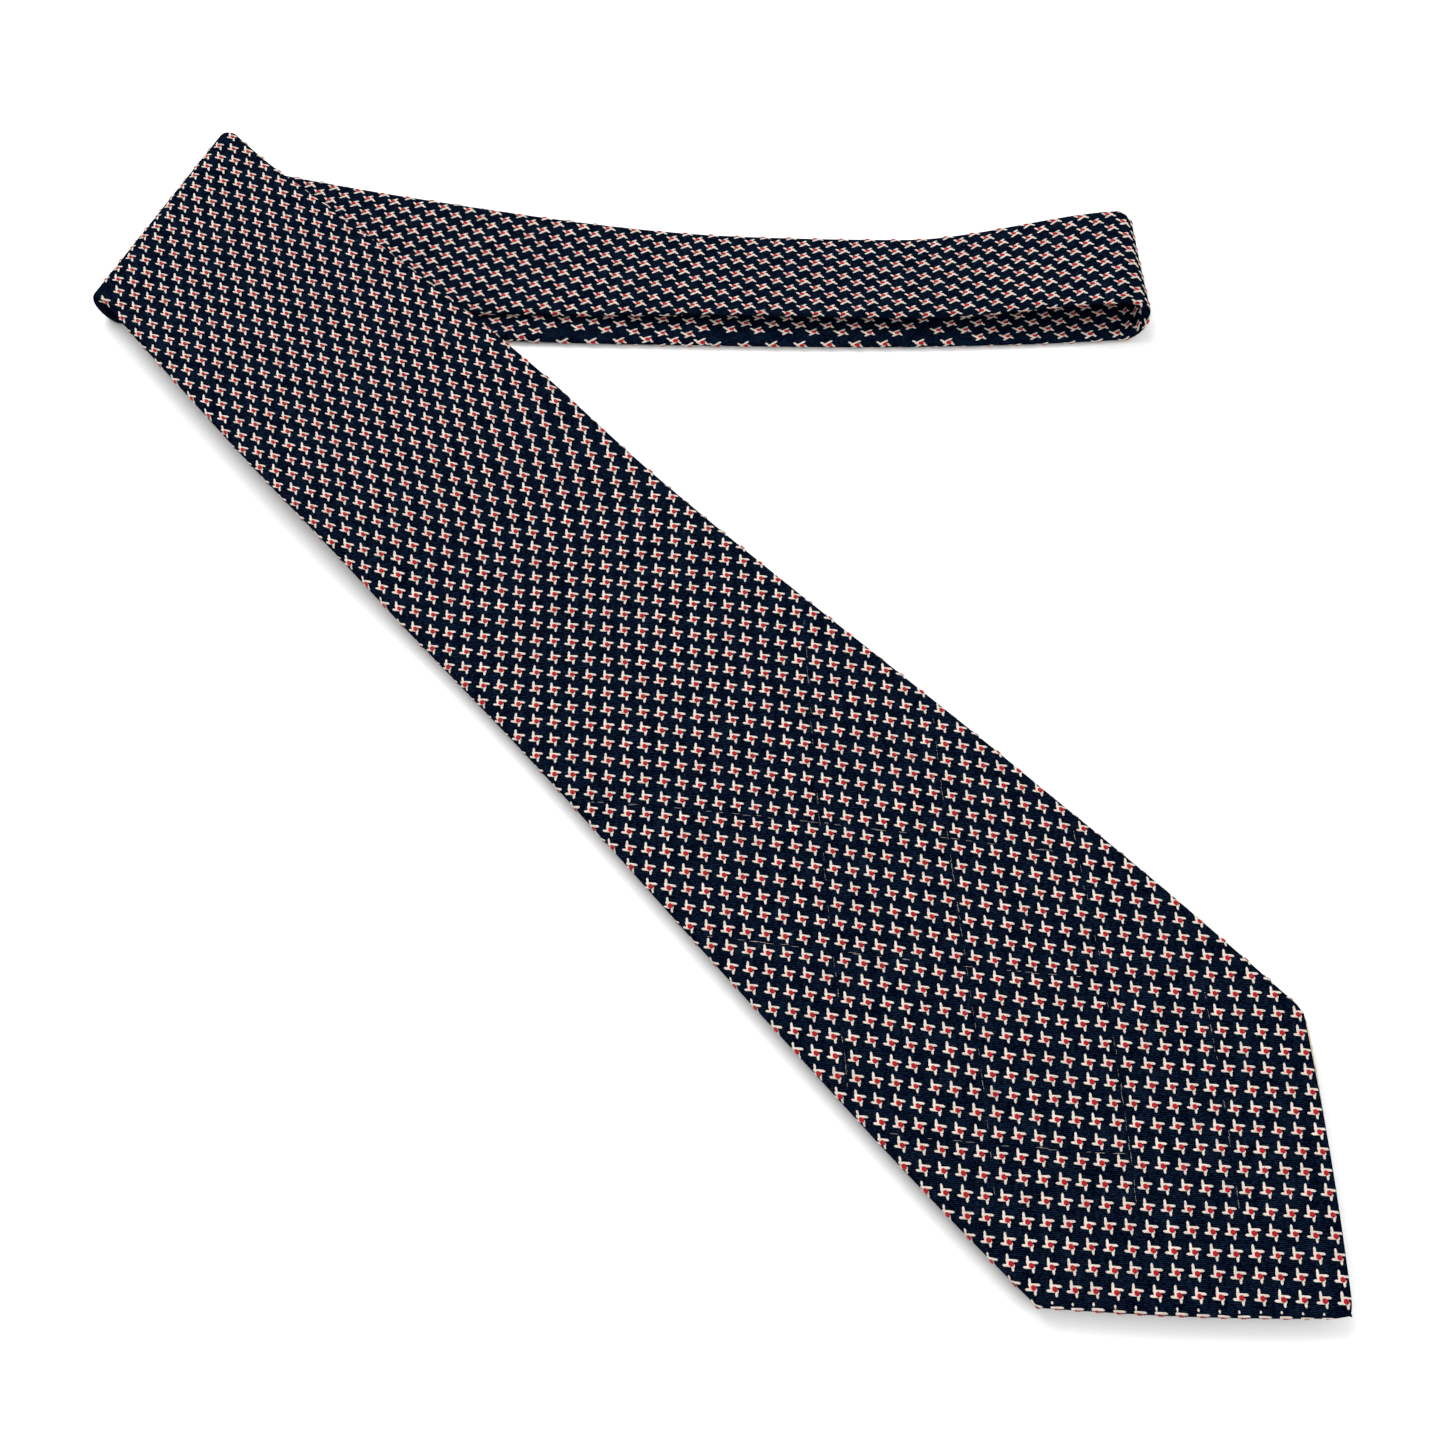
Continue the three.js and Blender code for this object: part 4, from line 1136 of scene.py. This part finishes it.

# %% [markdown]
# ## What moves with what
# The two long ends turn about one line at the pressed fold, and the tail goes with the blade because the
# keeper holds it. Everything on an end rides on it. The cloth of each fold stays where it lies, with its
# modifiers applied.

# %% Bodies and replaced solids
ON_BLADE = [shell_blade,
    figures["blade_front"],
    figures["blade_back"],
    pulled,
    blade_tipping,
    stitches_blade,
    keeper,
    keeper_figures,
    label,
     care_tag] + [tacks[k] for k in tacks if k != "bar_tack_tail"]
ON_TAIL = [
    shell_tail,
    figures["tail_front"],
    figures["tail_back"],
    tail_tipping,
    stitches_tail,
     tacks["bar_tack_tail"]]
ON_NECK = [shell_blade_upper, shell_neck, shell_tail_upper, stitches_neck] + [
    figures[k] for k in ("upper_front", "upper_back", "neck_front", "neck_back", "start_front", "start_back")]
for body, members in (("blade", ON_BLADE), ("tail", ON_TAIL), ("root", ON_NECK)):
    for piece in members:
        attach(piece, body)
REPLACED = [
    (shell_blade, "shell_blade"), (shell_tail, "shell_tail"), (shell_blade_upper, "shell_blade_upper"),
    (shell_neck, "shell_neck"), (shell_tail_upper, "shell_tail_upper"), (blade_fold, "shell_blade_fold"),
    (tail_fold, "shell_tail_fold"), (blade_fold_lining, "interlining_blade_fold"),
    (tail_fold_lining, "interlining_tail_fold"), (blade_tipping, "tipping_blade"),
    (tail_tipping, "tipping_tail"), (stitches_blade, "slip_stitch_blade"),
    (stitches_tail, "slip_stitch_tail"), (stitches_neck, "slip_stitch_neck"), (keeper, "keeper_loop"),
    (label, "label_blank"), (care_tag, "care_tag"), *((piece, node) for node, piece in tacks.items())]
for piece, node in REPLACED:
    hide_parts(node)


# %% The cloth of the folds, with its modifiers applied
def bend(piece):
    """Applies the piece's modifiers and bakes its placement into its mesh."""
    for modifier in list(piece.modifiers):
        with bpy.context.temp_override(object=piece, active_object=piece, selected_objects=[piece]):
            bpy.ops.object.modifier_apply(modifier=modifier.name)
    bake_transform(piece)


for piece in (blade_fold, blade_fold_lining, figures["blade_fold"]):
    bend(piece)
for piece in (tail_fold, tail_fold_lining):
    bend(piece)

# %% The flat width along each sheet, worked out and not kept
sheet_facts(blade_half, blade_flap, FOLD_STRIP, BLADE_END)
sheet_facts(tail_half, tail_flap, FOLD_STRIP, TAIL_END)
sheet_facts(neck_half, closed_flap, FOLD_STRIP, BLADE_SEAM)
sheet_facts(neck_half, closed_flap, BLADE_SEAM, tail_seam)
sheet_facts(neck_half, closed_flap, tail_seam, NECK_LENGTH - FOLD_STRIP)
def level_half(width):
    return lambda s: np.full(np.shape(s), width / 2 + 1)


sheet_facts(level_half(BLADE_FOLD), closed_flap, 0, 2 * FOLD_STRIP + \
            math.pi * 4.8)
sheet_facts(
    level_half(TAIL_FOLD),
    closed_flap,
    0,
    2 *
    FOLD_STRIP +
    math.pi *
    1.45)

# %% [markdown]
# ## The solids that stay
# The interlining of the blade, tail and neck keeps its solid, with a brushed wool finish. It shows only
# where the back opens.

# %% Interlining finish
for node in ("interlining_blade", "interlining_tail", "interlining_neck"):
    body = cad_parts[node]
    body.data.materials.clear()
    body.data.materials.append(solid_wool)

# %% Floor, light and finish
floor_mesh = bpy.data.meshes.new("floor")
floor_mesh.from_pydata([(-3, -3, 0), (3, -3, 0), (3, 3, 0), (-3, 3, 0)], [], [(0, 1, 2, 3)])
floor = bpy.data.objects.new("floor", floor_mesh)
bpy.context.scene.collection.objects.link(floor)
pale = bpy.data.materials.new("pale_floor")
pale.use_nodes = True
pale.node_tree.nodes["Principled BSDF"].inputs["Base Color"].default_value = (0.93, 0.93, 0.93, 1)
pale.node_tree.nodes["Principled BSDF"].inputs["Roughness"].default_value = 0.8
floor_mesh.materials.append(pale)


def area_light(name, place, size, power):
    """A square soft light that faces the middle of the tie."""
    data = bpy.data.lights.new(name, "AREA")
    data.size, data.energy = size, power
    lamp = bpy.data.objects.new(name, data)
    bpy.context.scene.collection.objects.link(lamp)
    lamp.location = place
    x, y, z = (-p for p in place)
    lamp.rotation_euler = (math.atan2(math.hypot(x, y), -z), 0, math.atan2(-x, y))
    return lamp


area_light("key", (-0.5, 0.7, 1.1), 0.9, 16)
area_light("fill", (0.8, -0.5, 1.2), 1.2, 8)
world = bpy.data.worlds.new("studio")
world.use_nodes = True
world.node_tree.nodes["Background"].inputs["Color"].default_value = (1, 1, 1, 1)
world.node_tree.nodes["Background"].inputs["Strength"].default_value = 0.75
bpy.context.scene.world = world
bpy.context.scene.view_settings.view_transform = "Standard"
